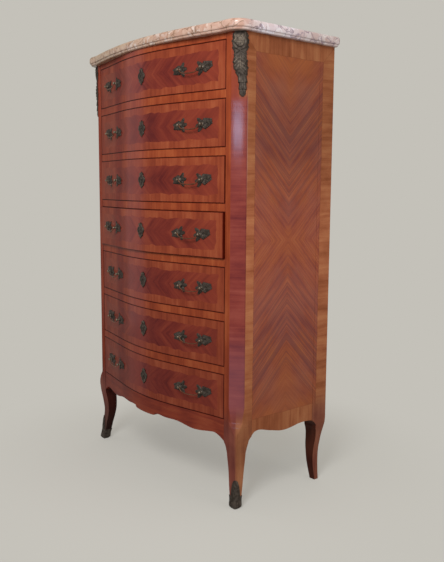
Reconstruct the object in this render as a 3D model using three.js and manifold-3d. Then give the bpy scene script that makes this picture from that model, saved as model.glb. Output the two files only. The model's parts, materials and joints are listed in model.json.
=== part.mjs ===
// A semainier: a tall chest of seven drawers with a bowed front, curved legs and a marble top.
// Lengths are in millimetres. X runs across the front, Y from front to back, Z up from the floor.
// The pieces are built with Y = 0 at the face of the front posts; the group at the end centres them.
import * as THREE from "three";
import { mergeVertices } from "three/addons/utils/BufferGeometryUtils.js";
import Module from "manifold-3d";

const wasm = await Module();
wasm.setup();

// Driving dimensions of the case
const caseWidth = 758;
const caseDepth = 364;
const drawerCount = 7;
const openingHeight = 127;
const dividerHeight = 23;
const topRailHeight = 16;
const legHeight = 193;
const apronHeight = 60;
const postWidth = 52;
const postDepth = 60;
const cantWidth = 31;
const cantDepth = 27;
const frontBow = 51;

// Clearances, and the overrun of a cutter past what it cuts
const fitGap = 0.3;
const drawerReveal = 1;
const overrun = 5;
const weldDistance = 0.001;

// Panels, boards and rails
const panelThickness = 18;
const backThickness = 10;
const apronThickness = 20;
const railDepth = 45;
const dustThickness = 8;
const dustRecess = 7;
const runnerWidth = 44;
const rearBearerDepth = 30;
const guideHeight = 12;
const stopHeight = 5;
const stopWidth = 40;
const stopDepth = 12;
const rearRailDepth = 22;
const rearRailHeight = 36;

// Legs: the side of the square leg at the knee, and how far the knee swells past the cant
const kneeSide = 39;
const kneeSwell = 12;
const rearLegSweep = 25;
const rearCornerEase = 3;
const innerArrisRound = 3;

// Marble top
const marbleThickness = 28;
const marbleSideOverhang = 16;
const marbleBackOverhang = 8;
const marbleFrontReach = 64;
const marbleBow = 42;
const marbleCornerRadius = 46;
const marbleBackRadius = 12;
const marbleTopRound = 9;
const marbleLowRound = 9;

// Drawers
const frontThickness = 20;
const drawerSideThickness = 10;
const drawerSideHeight = 105;
const drawerBackHeight = 92;
const drawerBottomThickness = 6;
const drawerBottomLift = 8;
const drawerRearGap = 19;
const drawerThreeProud = 2;
const drawerFourProud = 7;

// Handles: a bail hung between two rosette posts
const handleSpan = 81;
const handleEndInset = 78;
const handleStandoff = 13;
const handleDrop = 13;
const bailRadius = 1.7;
const eyePostRadius = 4;
const eyePlay = 0.5;
const bailPinLength = 3;
const rosetteSink = 4;
const innerRosetteWidth = 52;
const innerRosetteHeight = 36;
const outerRosetteWidth = 62;
const outerRosetteHeight = 42;
const rosetteRise = 3;
const rosetteCrown = 7;

// Locks: keyhole plate, the sleeve through the drawer front, and the case behind it
const plateWidth = 35;
const plateHeight = 50;
const plateThickness = 2.5;
const sleeveRadius = 5;
const keyholeRadius = 1.9;
const keyholeSlotWidth = 2.4;
const keyholeSlotLength = 7;
const keyholeDepth = 9;
const lockWidth = 60;
const lockHeight = 46;
const lockThickness = 12;
const lockSeat = 0.6;

// Corner mounts on the canted corners
const cornerMountWidth = 43;
const cornerMountHeight = 164;
const cornerMountDrop = 1;
const cornerMountCrown = 11;
const cornerMountWrap = 2;
const cornerMountSink = 6;

// Shoes on the front feet
const shoeCuffHeight = 35;
const shoeLeafHeight = 82;
const shoeLeafWidth = 20;
const shoeSide = 28;
const shoeSole = 2;

// Facets
const frontSegments = 20;
const cornerSegments = 5;
const edgeSegments = 4;
const bailSteps = 14;
const roundSides = 8;

// Sizes that follow from the ones above
const openingBase = legHeight + apronHeight;
const drawerPitch = openingHeight + dividerHeight;
const caseTop = openingBase + drawerCount * drawerPitch - dividerHeight + topRailHeight;
const caseHalf = caseWidth / 2;
const openingHalf = caseHalf - postWidth;
const panelInner = caseHalf - panelThickness;
const drawerHalf = openingHalf - drawerReveal;
const backInner = caseDepth - backThickness;
const rearPostFront = caseDepth - postDepth;
const handleHeight = openingHeight / 2;
const stopSetback = Math.max(frontThickness, apronThickness) + fitGap;

// The bowed front: how far it stands before the posts at a place across it.
// The round share mixes a plain arc with a wave that runs out flat at the posts.
const frontRoundShare = 0.5;
const marbleRoundShare = 0.9;
function bowShare(x, roundShare) {
  const t = Math.min(1, Math.abs(x) / openingHalf);
  const wave = Math.cos((Math.PI * t) / 2) ** 2;
  return roundShare * (1 - t * t) + (1 - roundShare) * wave;
}
function frontY(x) {
  return -frontBow * bowShare(x, frontRoundShare);
}

// The bowed line from one end to the other, moved back by a set amount
function frontLine(half, back) {
  const points = [];
  for (let i = 0; i <= frontSegments; i += 1) {
    const x = half * ((2 * i) / frontSegments - 1);
    points.push(new THREE.Vector2(x, frontY(x) + back));
  }
  return points;
}

// Any geometry as a solid that can be joined and cut
function solid(geometry) {
  const bare = geometry.clone();
  bare.deleteAttribute("normal");
  bare.deleteAttribute("uv");
  const merged = mergeVertices(bare, weldDistance);
  const vertProperties = new Float32Array(merged.attributes.position.array);
  const triVerts = new Uint32Array(merged.index.array);
  return new wasm.Manifold(new wasm.Mesh({ numProp: 3, vertProperties, triVerts }));
}

// A joined or cut solid as a geometry again
function geometryOf(body) {
  const mesh = body.getMesh();
  const geometry = new THREE.BufferGeometry();
  geometry.setAttribute("position", new THREE.BufferAttribute(mesh.vertProperties, 3));
  geometry.setIndex(new THREE.BufferAttribute(mesh.triVerts, 1));
  geometry.computeVertexNormals();
  return geometry;
}

// A block between low and high places on each axis
function block(x, y, z) {
  const box = new THREE.BoxGeometry(x[1] - x[0], y[1] - y[0], z[1] - z[0]);
  return box.translate((x[0] + x[1]) / 2, (y[0] + y[1]) / 2, (z[0] + z[1]) / 2);
}

// A flat outline pushed along a direction: its own x and y run along the two given axes
function pushed(outline, along, up, length, start) {
  const shape = new THREE.Shape(outline);
  const geometry = new THREE.ExtrudeGeometry(shape, { depth: length, bevelEnabled: false });
  const out = new THREE.Vector3().crossVectors(along, up);
  geometry.applyMatrix4(new THREE.Matrix4().makeBasis(along, up, out));
  return geometry.translate(start.x, start.y, start.z);
}

const axisX = new THREE.Vector3(1, 0, 0);
const axisY = new THREE.Vector3(0, 1, 0);
const axisZ = new THREE.Vector3(0, 0, 1);

// A plate with its outline seen from above
function plate(outline, low, high) {
  return pushed(outline, axisX, axisY, high - low, new THREE.Vector3(0, 0, low));
}

// A closed body through a pile of horizontal outlines that have the same number of points
function pile(layers) {
  const count = layers[0].outline.length;
  const positions = [];
  const index = [];
  for (const layer of layers) {
    for (const point of layer.outline) positions.push(point.x, point.y, layer.z);
  }
  for (let level = 0; level + 1 < layers.length; level += 1) {
    const low = level * count;
    const high = low + count;
    for (let i = 0; i < count; i += 1) {
      const next = (i + 1) % count;
      index.push(low + i, low + next, high + next);
      index.push(low + i, high + next, high + i);
    }
  }
  const top = (layers.length - 1) * count;
  for (const [a, b, c] of THREE.ShapeUtils.triangulateShape(layers[0].outline, [])) {
    index.push(a, c, b);
  }
  for (const [a, b, c] of THREE.ShapeUtils.triangulateShape(layers.at(-1).outline, [])) {
    index.push(top + a, top + b, top + c);
  }
  const geometry = new THREE.BufferGeometry();
  geometry.setAttribute("position", new THREE.Float32BufferAttribute(positions, 3));
  geometry.setIndex(index);
  geometry.computeVertexNormals();
  return geometry;
}

// The same geometry on the other side of the chest
function mirrored(geometry) {
  const copy = geometry.clone().scale(-1, 1, 1);
  const index = copy.index.array;
  for (let i = 0; i < index.length; i += 3) {
    [index[i + 1], index[i + 2]] = [index[i + 2], index[i + 1]];
  }
  copy.computeVertexNormals();
  return copy;
}

// The same geometry with its front turned to the back of the case
function turnedToBack(geometry) {
  const copy = geometry.clone().scale(1, -1, 1);
  const index = copy.index.array;
  for (let i = 0; i < index.length; i += 3) {
    [index[i + 1], index[i + 2]] = [index[i + 2], index[i + 1]];
  }
  return copy.translate(0, caseDepth, 0);
}

// A height on a leg: shares up to 1 are on the leg, and shares from 1 to 2 on the apron above it
function legLevel(share) {
  if (share <= 1) return share * legHeight;
  return legHeight + (share - 1) * apronHeight;
}

// One level of a post and its leg, seen from above, at the right front corner.
// Its outer corner is cut by the cant; the arris moves out along the corner's diagonal.
function postOutline(level, corner) {
  const cutX = corner.width * level.cant;
  const cutY = corner.depth * level.cant;
  const out = (corner.swing * level.arris) / Math.SQRT2;
  const sideX = caseHalf - corner.width / 2 + out + cutX / 2;
  const faceY = corner.depth / 2 - out - cutY / 2;
  const side = corner.side * level.side + 2 * corner.grow;
  const outerX = sideX + corner.grow;
  const outerY = faceY - corner.grow;
  const innerX = THREE.MathUtils.lerp(outerX - side, openingHalf, level.shoulderX);
  const innerY = THREE.MathUtils.lerp(outerY + side, postDepth, level.shoulderY);
  const ease = innerArrisRound * level.round;
  const easeNear = ease * (1 - Math.SQRT1_2);
  return [
    new THREE.Vector2(innerX, outerY),
    new THREE.Vector2(outerX - cutX, outerY),
    new THREE.Vector2(outerX, outerY + cutY),
    new THREE.Vector2(outerX, innerY),
    new THREE.Vector2(innerX + ease, innerY),
    new THREE.Vector2(innerX + easeNear, innerY - easeNear),
    new THREE.Vector2(innerX, innerY - ease),
  ];
}

// Named columns for a table of leg levels
function legTable(rows) {
  return rows.map(([at, shoulderX, shoulderY, side, arris, cant, round]) => {
    return { at, shoulderX, shoulderY, side, arris, cant, round };
  });
}

// Front leg from the apron down to the ankle: height, how much of the post's width and depth
// is left, the side of the leg, the arris, the cant and the rounding of the inner arris
const frontLegShares = legTable([
  [2, 1, 1, 1, 0, 1, 0.1],
  [1.68, 1, 1, 1, 0.6, 0.62, 0.1],
  [1.36, 1, 1, 1, 1, 0.2, 0.1],
  [1.23, 1, 1, 1, 1.04, 0.14, 0.1],
  [1.08, 1, 0.67, 1, 1, 0.12, 0.4],
  [0.98, 1, 0.45, 1, 0.9, 0.11, 0.6],
  [0.93, 0.54, 0.3, 1, 0.8, 0.11, 0.8],
  [0.87, 0.19, 0.12, 1, 0.6, 0.11, 1],
  [0.79, 0, 0, 0.97, 0.34, 0.1, 1],
  [0.67, 0, 0, 0.9, 0, 0.1, 1],
  [0.56, 0, 0, 0.82, -0.2, 0.1, 1],
  [0.44, 0, 0, 0.76, -0.05, 0.1, 1],
  [0.31, 0, 0, 0.7, 0.3, 0.1, 0.9],
  [0.22, 0, 0, 0.65, 0.42, 0.1, 0.8],
  [0.19, 0, 0, 0.61, 0.42, 0.1, 0.8],
]);
const frontFootShare = { at: 0, shoulderX: 0, shoulderY: 0, side: 0.52, arris: 0.8, cant: 0.1, round: 0.6 };

// Rear leg, whose arris stays inside the corner of the case
const rearLegShares = legTable([
  [2, 1, 1, 1, 0, 1, 0.1],
  [1.33, 1, 1, 1, 0, 1, 0.2],
  [1.09, 1, 1, 1, 0, 1, 0.4],
  [1, 1, 0.62, 1, -0.02, 1, 0.6],
  [0.96, 1, 0.28, 1, -0.04, 1, 0.8],
  [0.907, 1, 0, 1, -0.13, 1, 1],
  [0.829, 1, 0, 0.82, -0.29, 1, 1],
  [0.725, 1, 0, 0.67, -0.49, 1, 1],
  [0.622, 0.97, 0, 0.63, -0.63, 1, 1],
  [0.518, 0.8, 0, 0.63, -0.75, 1, 1],
  [0.415, 0.52, 0, 0.64, -0.8, 1, 1],
  [0.311, 0.38, 0, 0.62, -0.81, 1, 1],
  [0.207, 0.3, 0, 0.57, -0.79, 1, 0.9],
  [0.104, 0.25, 0, 0.51, -0.76, 1, 0.8],
  [0, 0.16, 0, 0.47, -0.72, 1, 0.6],
]);

const frontCorner = { width: cantWidth, depth: cantDepth, swing: kneeSwell, side: kneeSide, grow: 0 };
const rearCorner = {
  width: rearCornerEase,
  depth: rearCornerEase,
  swing: rearLegSweep,
  side: kneeSide,
  grow: 0,
};

// A stile and its leg in one piece, from the foot to the underside of the marble
function postGeometry(levels, corner, foot) {
  const layers = [];
  if (foot) layers.push({ z: foot.z, outline: postOutline(foot.level, corner) });
  for (const level of [...levels].reverse()) {
    layers.push({ z: legLevel(level.at), outline: postOutline(level, corner) });
  }
  layers.push({ z: caseTop, outline: postOutline(levels[0], corner) });
  return pile(layers);
}

// A quarter of a circle in plan, from one angle on; its centre stays when the line is drawn in
function cornerArc(x, y, radius, startTurn) {
  const points = [];
  for (let i = 0; i <= cornerSegments; i += 1) {
    const angle = ((startTurn + i / cornerSegments) * Math.PI) / 2;
    points.push(new THREE.Vector2(x + radius * Math.cos(angle), y + radius * Math.sin(angle)));
  }
  return points;
}

// The marble's plan, drawn in from its widest line by an inset
function marbleOutline(inset) {
  const half = caseHalf + marbleSideOverhang;
  const cornerFront = marbleBow - marbleFrontReach;
  const front = [];
  for (let i = 0; i <= frontSegments; i += 1) {
    const x = openingHalf * ((2 * i) / frontSegments - 1);
    const y = cornerFront - marbleBow * bowShare(x, marbleRoundShare);
    front.push(new THREE.Vector2(x, y + inset));
  }
  const nearX = half - marbleCornerRadius;
  const nearY = cornerFront + marbleCornerRadius;
  const farX = half - marbleBackRadius;
  const farY = caseDepth + marbleBackOverhang - marbleBackRadius;
  const right = [
    ...cornerArc(nearX, nearY, marbleCornerRadius - inset, -1),
    ...cornerArc(farX, farY, marbleBackRadius - inset, 0),
  ];
  const left = right.map((point) => new THREE.Vector2(-point.x, point.y)).reverse();
  return [...front, ...right, ...left];
}

// The marble slab: its edge is rounded below and on top, with a straight band between
function marbleGeometry() {
  const layers = [];
  for (let i = 0; i <= edgeSegments; i += 1) {
    const angle = ((i / edgeSegments) * Math.PI) / 2;
    layers.push({
      z: caseTop + marbleLowRound * (1 - Math.cos(angle)),
      outline: marbleOutline(marbleLowRound * (1 - Math.sin(angle))),
    });
  }
  for (let i = 0; i <= edgeSegments; i += 1) {
    const angle = ((i / edgeSegments) * Math.PI) / 2;
    layers.push({
      z: caseTop + marbleThickness - marbleTopRound * (1 - Math.sin(angle)),
      outline: marbleOutline(marbleTopRound * (1 - Math.cos(angle))),
    });
  }
  return pile(layers);
}

// A plate with a bowed front edge and its back corners between the posts, panels and back
function shelfOutline(front, half) {
  return [
    ...front,
    new THREE.Vector2(half, postDepth + fitGap),
    new THREE.Vector2(panelInner - fitGap, postDepth + fitGap),
    new THREE.Vector2(panelInner - fitGap, rearPostFront - fitGap),
    new THREE.Vector2(half, rearPostFront - fitGap),
    new THREE.Vector2(half, backInner - fitGap),
    new THREE.Vector2(-half, backInner - fitGap),
    new THREE.Vector2(-half, rearPostFront - fitGap),
    new THREE.Vector2(fitGap - panelInner, rearPostFront - fitGap),
    new THREE.Vector2(fitGap - panelInner, postDepth + fitGap),
    new THREE.Vector2(-half, postDepth + fitGap),
  ];
}

// A shelf between two drawers, with its top at 0: the rail that shows, a thin dust board,
// runners for the drawer's sides, guides beside them and two stops behind the drawer's front
function shelf(front) {
  const half = openingHalf - fitGap;
  let body = solid(plate(shelfOutline(front, half), -dividerHeight, 0));
  const inner = openingHalf - runnerWidth;
  const recess = [
    [-inner, inner],
    [railDepth, backInner - rearBearerDepth],
  ];
  body = body.subtract(solid(block(...recess, [-dustRecess, overrun])));
  const below = -dustRecess - dustThickness;
  body = body.subtract(solid(block(...recess, [-dividerHeight - overrun, below])));
  for (const side of [-1, 1]) {
    const across = [side * openingHalf, side * (panelInner - fitGap)].sort((a, b) => a - b);
    const along = [postDepth + fitGap, rearPostFront - fitGap];
    body = body.add(solid(block(across, along, [-dividerHeight / 2, guideHeight])));
    const middle = (side * drawerHalf) / 2;
    const stopFront = frontY(drawerHalf / 2 + stopWidth / 2) + stopSetback;
    const stop = [
      [middle - stopWidth / 2, middle + stopWidth / 2],
      [stopFront, stopFront + stopDepth],
    ];
    body = body.add(solid(block(...stop, [-dustRecess, stopHeight])));
  }
  return body;
}
function dividerGeometry() {
  return geometryOf(shelf(frontLine(openingHalf - fitGap, 0)));
}

// The bottom board starts behind the apron
function bottomBoardGeometry() {
  return geometryOf(shelf(frontLine(openingHalf - fitGap, apronThickness + fitGap)));
}

// The rail above the first drawer, bowed in front and straight behind
function topRailGeometry() {
  const half = openingHalf - fitGap;
  const back = [new THREE.Vector2(half, railDepth), new THREE.Vector2(-half, railDepth)];
  return plate([...frontLine(half, 0), ...back], caseTop - topRailHeight, caseTop);
}

// The board under the marble, behind the top rail
function topBoardGeometry() {
  const half = openingHalf - fitGap;
  const front = [
    new THREE.Vector2(-half, railDepth + fitGap),
    new THREE.Vector2(half, railDepth + fitGap),
  ];
  return plate(shelfOutline(front, half), caseTop - topRailHeight, caseTop);
}

// Lower edge of the front apron, from its middle to the post: share of the half width, share of
// the apron's height. The cusp beside the middle lobe starts the second list.
const apronLobeShares = [[0, 0.13], [0.09, 0.14], [0.15, 0.17], [0.17, 0.28]];
const apronWingShares = [
  [0.17, 0.28], [0.23, 0.285], [0.31, 0.25], [0.43, 0.265], [0.5, 0.235], [0.56, 0.17],
  [0.64, 0.1], [0.73, 0.115], [0.84, 0.2], [0.9, 0.215], [0.96, 0.08], [1, -0.067],
];
const apronCurvePoints = 14;

function apronEdge() {
  const half = openingHalf - fitGap;
  const place = ([x, z]) => new THREE.Vector2(x * half, legHeight + z * apronHeight);
  const lobe = new THREE.SplineCurve(apronLobeShares.map(place)).getPoints(edgeSegments);
  const wing = new THREE.SplineCurve(apronWingShares.map(place)).getPoints(apronCurvePoints);
  const right = [...lobe, ...wing.slice(1)];
  const left = right.slice(1).map((point) => new THREE.Vector2(-point.x, point.y));
  return [...left.reverse(), ...right];
}

// The apron: a bowed board cut along its shaped lower edge
function frontApronGeometry() {
  const half = openingHalf - fitGap;
  const outer = frontLine(half, 0);
  const inner = frontLine(half, apronThickness).reverse();
  const board = solid(plate([...outer, ...inner], legHeight - apronHeight, openingBase));
  const top = openingBase + overrun;
  const face = [...apronEdge(), new THREE.Vector2(half, top), new THREE.Vector2(-half, top)];
  const through = frontBow + apronThickness + 2 * overrun;
  const start = new THREE.Vector3(0, apronThickness + overrun, 0);
  return geometryOf(board.intersect(solid(pushed(face, axisX, axisZ, through, start))));
}

// Lower edge of a side panel, from its front post to its rear post: share of the depth, share of the apron
const sideEdgeShares = [
  [0, 0.233], [0.03, 0.34], [0.065, 0.39], [0.11, 0.4], [0.165, 0.36], [0.25, 0.26],
  [0.35, 0.16], [0.44, 0.075], [0.54, 0.045], [0.65, 0.085], [0.75, 0.15], [0.83, 0.17],
  [0.9, 0.165], [0.96, 0.13], [1, 0.09],
];
const sideCurvePoints = 24;

function sidePanelGeometry() {
  const front = postDepth + fitGap;
  const back = rearPostFront - fitGap;
  const place = ([share, rise]) =>
    new THREE.Vector2(THREE.MathUtils.lerp(front, back, share), legHeight + rise * apronHeight);
  const outline = [
    ...new THREE.SplineCurve(sideEdgeShares.map(place)).getPoints(sideCurvePoints),
    new THREE.Vector2(back, caseTop),
    new THREE.Vector2(front, caseTop),
  ];
  return pushed(outline, axisY, axisZ, panelThickness, new THREE.Vector3(panelInner, 0, 0));
}

function backPanelGeometry() {
  const half = openingHalf - fitGap;
  const low = openingBase - dividerHeight;
  return block([-half, half], [backInner, caseDepth], [low, caseTop]);
}

function rearRailGeometry() {
  const half = openingHalf - fitGap;
  const top = openingBase - dividerHeight - fitGap;
  return block([-half, half], [caseDepth - rearRailDepth, caseDepth], [top - rearRailHeight, top]);
}

// A handle's own frame: along the chord between its two posts, out from the front, and up
function handleFrame() {
  const outerX = drawerHalf - handleEndInset;
  const innerX = outerX - handleSpan;
  const inner = new THREE.Vector3(innerX, frontY(innerX), handleHeight);
  const outer = new THREE.Vector3(outerX, frontY(outerX), handleHeight);
  const along = outer.clone().sub(inner).normalize();
  const out = new THREE.Vector3(along.y, -along.x, 0);
  return { inner, outer, along, out, length: inner.distanceTo(outer) };
}

// A place in a handle's frame: its own z points out of the drawer front
function toHandle(geometry, frame, origin) {
  geometry.applyMatrix4(new THREE.Matrix4().makeBasis(frame.along, axisZ, frame.out));
  return geometry.translate(origin.x, origin.y, origin.z);
}

// Outlines of the two cast leaf rosettes, as shares of half their width and height.
// The inner one points to the middle of the drawer, the outer one outwards and up.
const innerLeafShares = [
  [1, 0.1], [0.7, 0.75], [0.1, 0.8], [-0.45, 1], [-0.8, 0.55], [-1, 0.05],
  [-0.8, -0.55], [-0.35, -0.95], [0.25, -0.85], [0.8, -0.6],
];
const outerLeafShares = [
  [-1, -0.15], [-0.6, -0.8], [0, -1], [0.5, -0.75], [0.85, -0.25], [1, 0.4],
  [0.75, 0.95], [0.3, 0.75], [-0.2, 0.85], [-0.75, 0.5],
];
const crownShare = 0.55;

function rosetteBody(shares, width, height, frame, origin) {
  const ring = (scale) => {
    return shares.map(([u, v]) => new THREE.Vector2((u * scale * width) / 2, (v * scale * height) / 2));
  };
  const layers = [
    { z: -rosetteSink, outline: ring(1) },
    { z: rosetteRise, outline: ring(1) },
    { z: rosetteCrown, outline: ring(crownShare) },
  ];
  return solid(toHandle(pile(layers), frame, origin));
}

// The post in the middle of a rosette, with the eye that takes the end of the bail
function eyePost(frame, origin) {
  const length = handleStandoff + eyePostRadius;
  const post = new THREE.CylinderGeometry(eyePostRadius, eyePostRadius, length, roundSides);
  post.rotateX(Math.PI / 2);
  post.translate(0, 0, length / 2);
  const hole = new THREE.CylinderGeometry(1, 1, 2 * (eyePostRadius + overrun), roundSides);
  hole.scale(bailRadius + eyePlay, 1, bailRadius + eyePlay);
  hole.rotateZ(Math.PI / 2);
  hole.translate(0, 0, handleStandoff);
  const body = solid(post).subtract(solid(hole));
  return solid(toHandle(geometryOf(body), frame, origin));
}

// The rosettes and eyes of the right-hand handle
function handleFittings() {
  const frame = handleFrame();
  const { inner, outer } = frame;
  const parts = [
    rosetteBody(innerLeafShares, innerRosetteWidth, innerRosetteHeight, frame, inner),
    rosetteBody(outerLeafShares, outerRosetteWidth, outerRosetteHeight, frame, outer),
    eyePost(frame, inner),
    eyePost(frame, outer),
  ];
  return parts;
}

// How a bail bends down from its pin: shares of its drop, inwards and downwards
const bailBendShares = [[0, 0], [0.1, 0.3], [0.4, 0.62], [1.2, 0.88]];

// A bail: pinned in both eyes, bent down at each end and nearly level between
function bailGeometry() {
  const frame = handleFrame();
  const reach = frame.length / 2;
  const pinStart = reach - eyePostRadius - bailRadius;
  const bend = bailBendShares.map(([u, v]) => [pinStart - u * handleDrop, -v * handleDrop]);
  const halfPath = [[reach + bailPinLength, 0], ...bend];
  const right = halfPath.map(([u, v]) => new THREE.Vector3(u, v, 0));
  const left = halfPath.map(([u, v]) => new THREE.Vector3(-u, v, 0));
  const low = new THREE.Vector3(0, -handleDrop, 0);
  const path = new THREE.CatmullRomCurve3([...left, low, ...right.reverse()]);
  const section = new THREE.Shape();
  section.absarc(0, 0, bailRadius, 0, 2 * Math.PI);
  const bail = new THREE.ExtrudeGeometry(section, {
    extrudePath: path,
    steps: bailSteps,
    curveSegments: 3,
    bevelEnabled: false,
  });
  const middle = frame.inner.clone().add(frame.outer).multiplyScalar(1 / 2);
  middle.addScaledVector(frame.out, handleStandoff);
  return toHandle(bail, frame, middle);
}

// A drawer front: a bowed board with the rosettes and eyes of two handles cast against it
function drawerFrontGeometry() {
  const outer = frontLine(drawerHalf, 0);
  const inner = frontLine(drawerHalf, frontThickness).reverse();
  const low = drawerReveal;
  const high = openingHeight - drawerReveal;
  let body = solid(plate([...outer, ...inner], low, high));
  const hole = new THREE.CylinderGeometry(
    sleeveRadius + fitGap,
    sleeveRadius + fitGap,
    frontThickness + 2 * overrun,
    roundSides,
  );
  hole.translate(0, frontThickness / 2 - frontBow, handleHeight);
  body = body.subtract(solid(hole));
  for (const part of handleFittings()) {
    body = body.add(part);
    body = body.add(solid(mirrored(geometryOf(part))));
  }
  return geometryOf(body);
}

// A drawer's box behind its front: two sides, a back and a bottom with a bowed front edge
function drawerBoxGeometry() {
  const back = backInner - drawerRearGap;
  const front = frontThickness + fitGap;
  const behind = frontLine(drawerHalf, frontThickness + fitGap);
  const rearCorners = [new THREE.Vector2(drawerHalf, back), new THREE.Vector2(-drawerHalf, back)];
  const bottomOutline = [...behind, ...rearCorners];
  const bottomTop = drawerBottomLift + drawerBottomThickness;
  let body = solid(plate(bottomOutline, drawerBottomLift, bottomTop));
  for (const side of [-1, 1]) {
    const across = [side * (drawerHalf - drawerSideThickness), side * drawerHalf].sort((a, b) => a - b);
    body = body.add(solid(block(across, [front, back], [fitGap, drawerSideHeight])));
  }
  const rear = [back - drawerSideThickness, back];
  const span = [-drawerHalf, drawerHalf];
  body = body.add(solid(block(span, rear, [drawerBottomLift, drawerBackHeight])));
  return geometryOf(body);
}

// Outline of the keyhole plate, as shares of half its width and height
const plateShares = [
  [0, -1], [0.5, -0.78], [0.6, -0.5], [1, -0.1], [0.85, 0.3], [0.5, 0.55], [0.55, 0.8],
  [0, 1], [-0.55, 0.8], [-0.5, 0.55], [-0.85, 0.3], [-1, -0.1], [-0.6, -0.5], [-0.5, -0.78],
];

// A lock: the keyhole plate outside, its sleeve through the drawer front, and the case inside
function lockGeometry() {
  const face = -frontBow - fitGap;
  const outline = plateShares.map(([x, z]) => {
    return new THREE.Vector2((x * plateWidth) / 2, handleHeight + (z * plateHeight) / 2);
  });
  const start = new THREE.Vector3(0, face, 0);
  let body = solid(pushed(outline, axisX, axisZ, plateThickness, start));
  const sleeveLength = frontThickness + plateThickness + lockThickness / 2;
  const sleeve = new THREE.CylinderGeometry(sleeveRadius, sleeveRadius, sleeveLength, roundSides);
  sleeve.translate(0, face - plateThickness / 2 + sleeveLength / 2, handleHeight);
  body = body.add(solid(sleeve));
  const caseFront = frontThickness - frontBow + fitGap;
  body = body.add(solid(block(
    [-lockWidth / 2, lockWidth / 2],
    [caseFront + lockSeat, caseFront + lockSeat + lockThickness],
    [handleHeight - lockHeight / 2, handleHeight + lockHeight / 2],
  )));
  const keyholeFront = face - plateThickness - overrun;
  const keyholeEnd = face - plateThickness + keyholeDepth;
  const keyholeTop = handleHeight + keyholeSlotLength / 3;
  const through = keyholeEnd - keyholeFront;
  const round = new THREE.CylinderGeometry(keyholeRadius, keyholeRadius, through, roundSides);
  round.translate(0, (keyholeFront + keyholeEnd) / 2, keyholeTop);
  const slot = block(
    [-keyholeSlotWidth / 2, keyholeSlotWidth / 2],
    [keyholeFront, keyholeEnd],
    [keyholeTop - keyholeSlotLength, keyholeTop],
  );
  return geometryOf(body.subtract(solid(round)).subtract(solid(slot)));
}

// Widths and crowns of a corner mount from its top to its tip, as shares
const cornerMountShares = [
  [0, 0.7, 0.6], [0.06, 0.9, 0.9], [0.15, 1, 1], [0.24, 0.92, 0.85], [0.33, 0.76, 0.7],
  [0.41, 0.82, 0.85], [0.5, 0.88, 1], [0.6, 0.8, 0.85], [0.67, 0.62, 0.6], [0.76, 0.47, 0.5],
  [0.88, 0.4, 0.5], [0.96, 0.3, 0.35], [1, 0.1, 0.2],
];

// Its section from edge to edge: share of the half width, and share of the crown
const mountSectionShares = [[-1, 0], [-0.62, 0.72], [0, 1], [0.62, 0.72], [1, 0]];

// A corner mount: a cast relief over the cant, hollow behind so that it sits round the corner
function cornerMountGeometry() {
  const along = new THREE.Vector2(cantWidth, cantDepth).normalize();
  const out = new THREE.Vector2(along.y, -along.x);
  const centre = new THREE.Vector2(caseHalf - cantWidth / 2, cantDepth / 2);
  const place = (u, v) => centre.clone().addScaledVector(along, u).addScaledVector(out, v);
  const top = caseTop - cornerMountDrop;
  const layers = cornerMountShares.map(([at, width, crown]) => {
    const half = (cornerMountWidth * width) / 2;
    const rise = cornerMountCrown * crown + cornerMountWrap;
    const face = mountSectionShares.map(([u, v]) => place(u * half, v * rise - cornerMountWrap));
    return { z: top - at * cornerMountHeight, outline: [...face, place(0, -cornerMountSink)] };
  });
  const relief = solid(pile(layers.reverse()));
  const grown = postOutline(frontLegShares[0], { ...frontCorner, grow: fitGap });
  const stile = solid(plate(grown, openingBase, caseTop + overrun));
  return geometryOf(relief.subtract(stile));
}

// Levels of a shoe's outside, and the leaf that rises on the arris above its cuff
const shoeShares = legTable([
  [0, 0, 0, 0.8, 0.92, 0.16, 0.6],
  [0.05, 0, 0, 0.93, 1.2, 0.14, 0.7],
  [0.2, 0, 0, 0.97, 1.02, 0.12, 0.8],
  [0.36, 0, 0, 0.98, 0.8, 0.12, 0.8],
  [0.55, 0, 0, 1, 0.72, 0.12, 0.9],
  [1, 0, 0, 1.03, 0.6, 0.12, 1],
]);
const shoeLeafShares = [[0.5, 0], [0.42, 0.25], [0.5, 0.45], [0.25, 0.7], [0, 1]];

function footLevel() {
  return { z: shoeSole + fitGap, level: frontFootShare };
}

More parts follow.
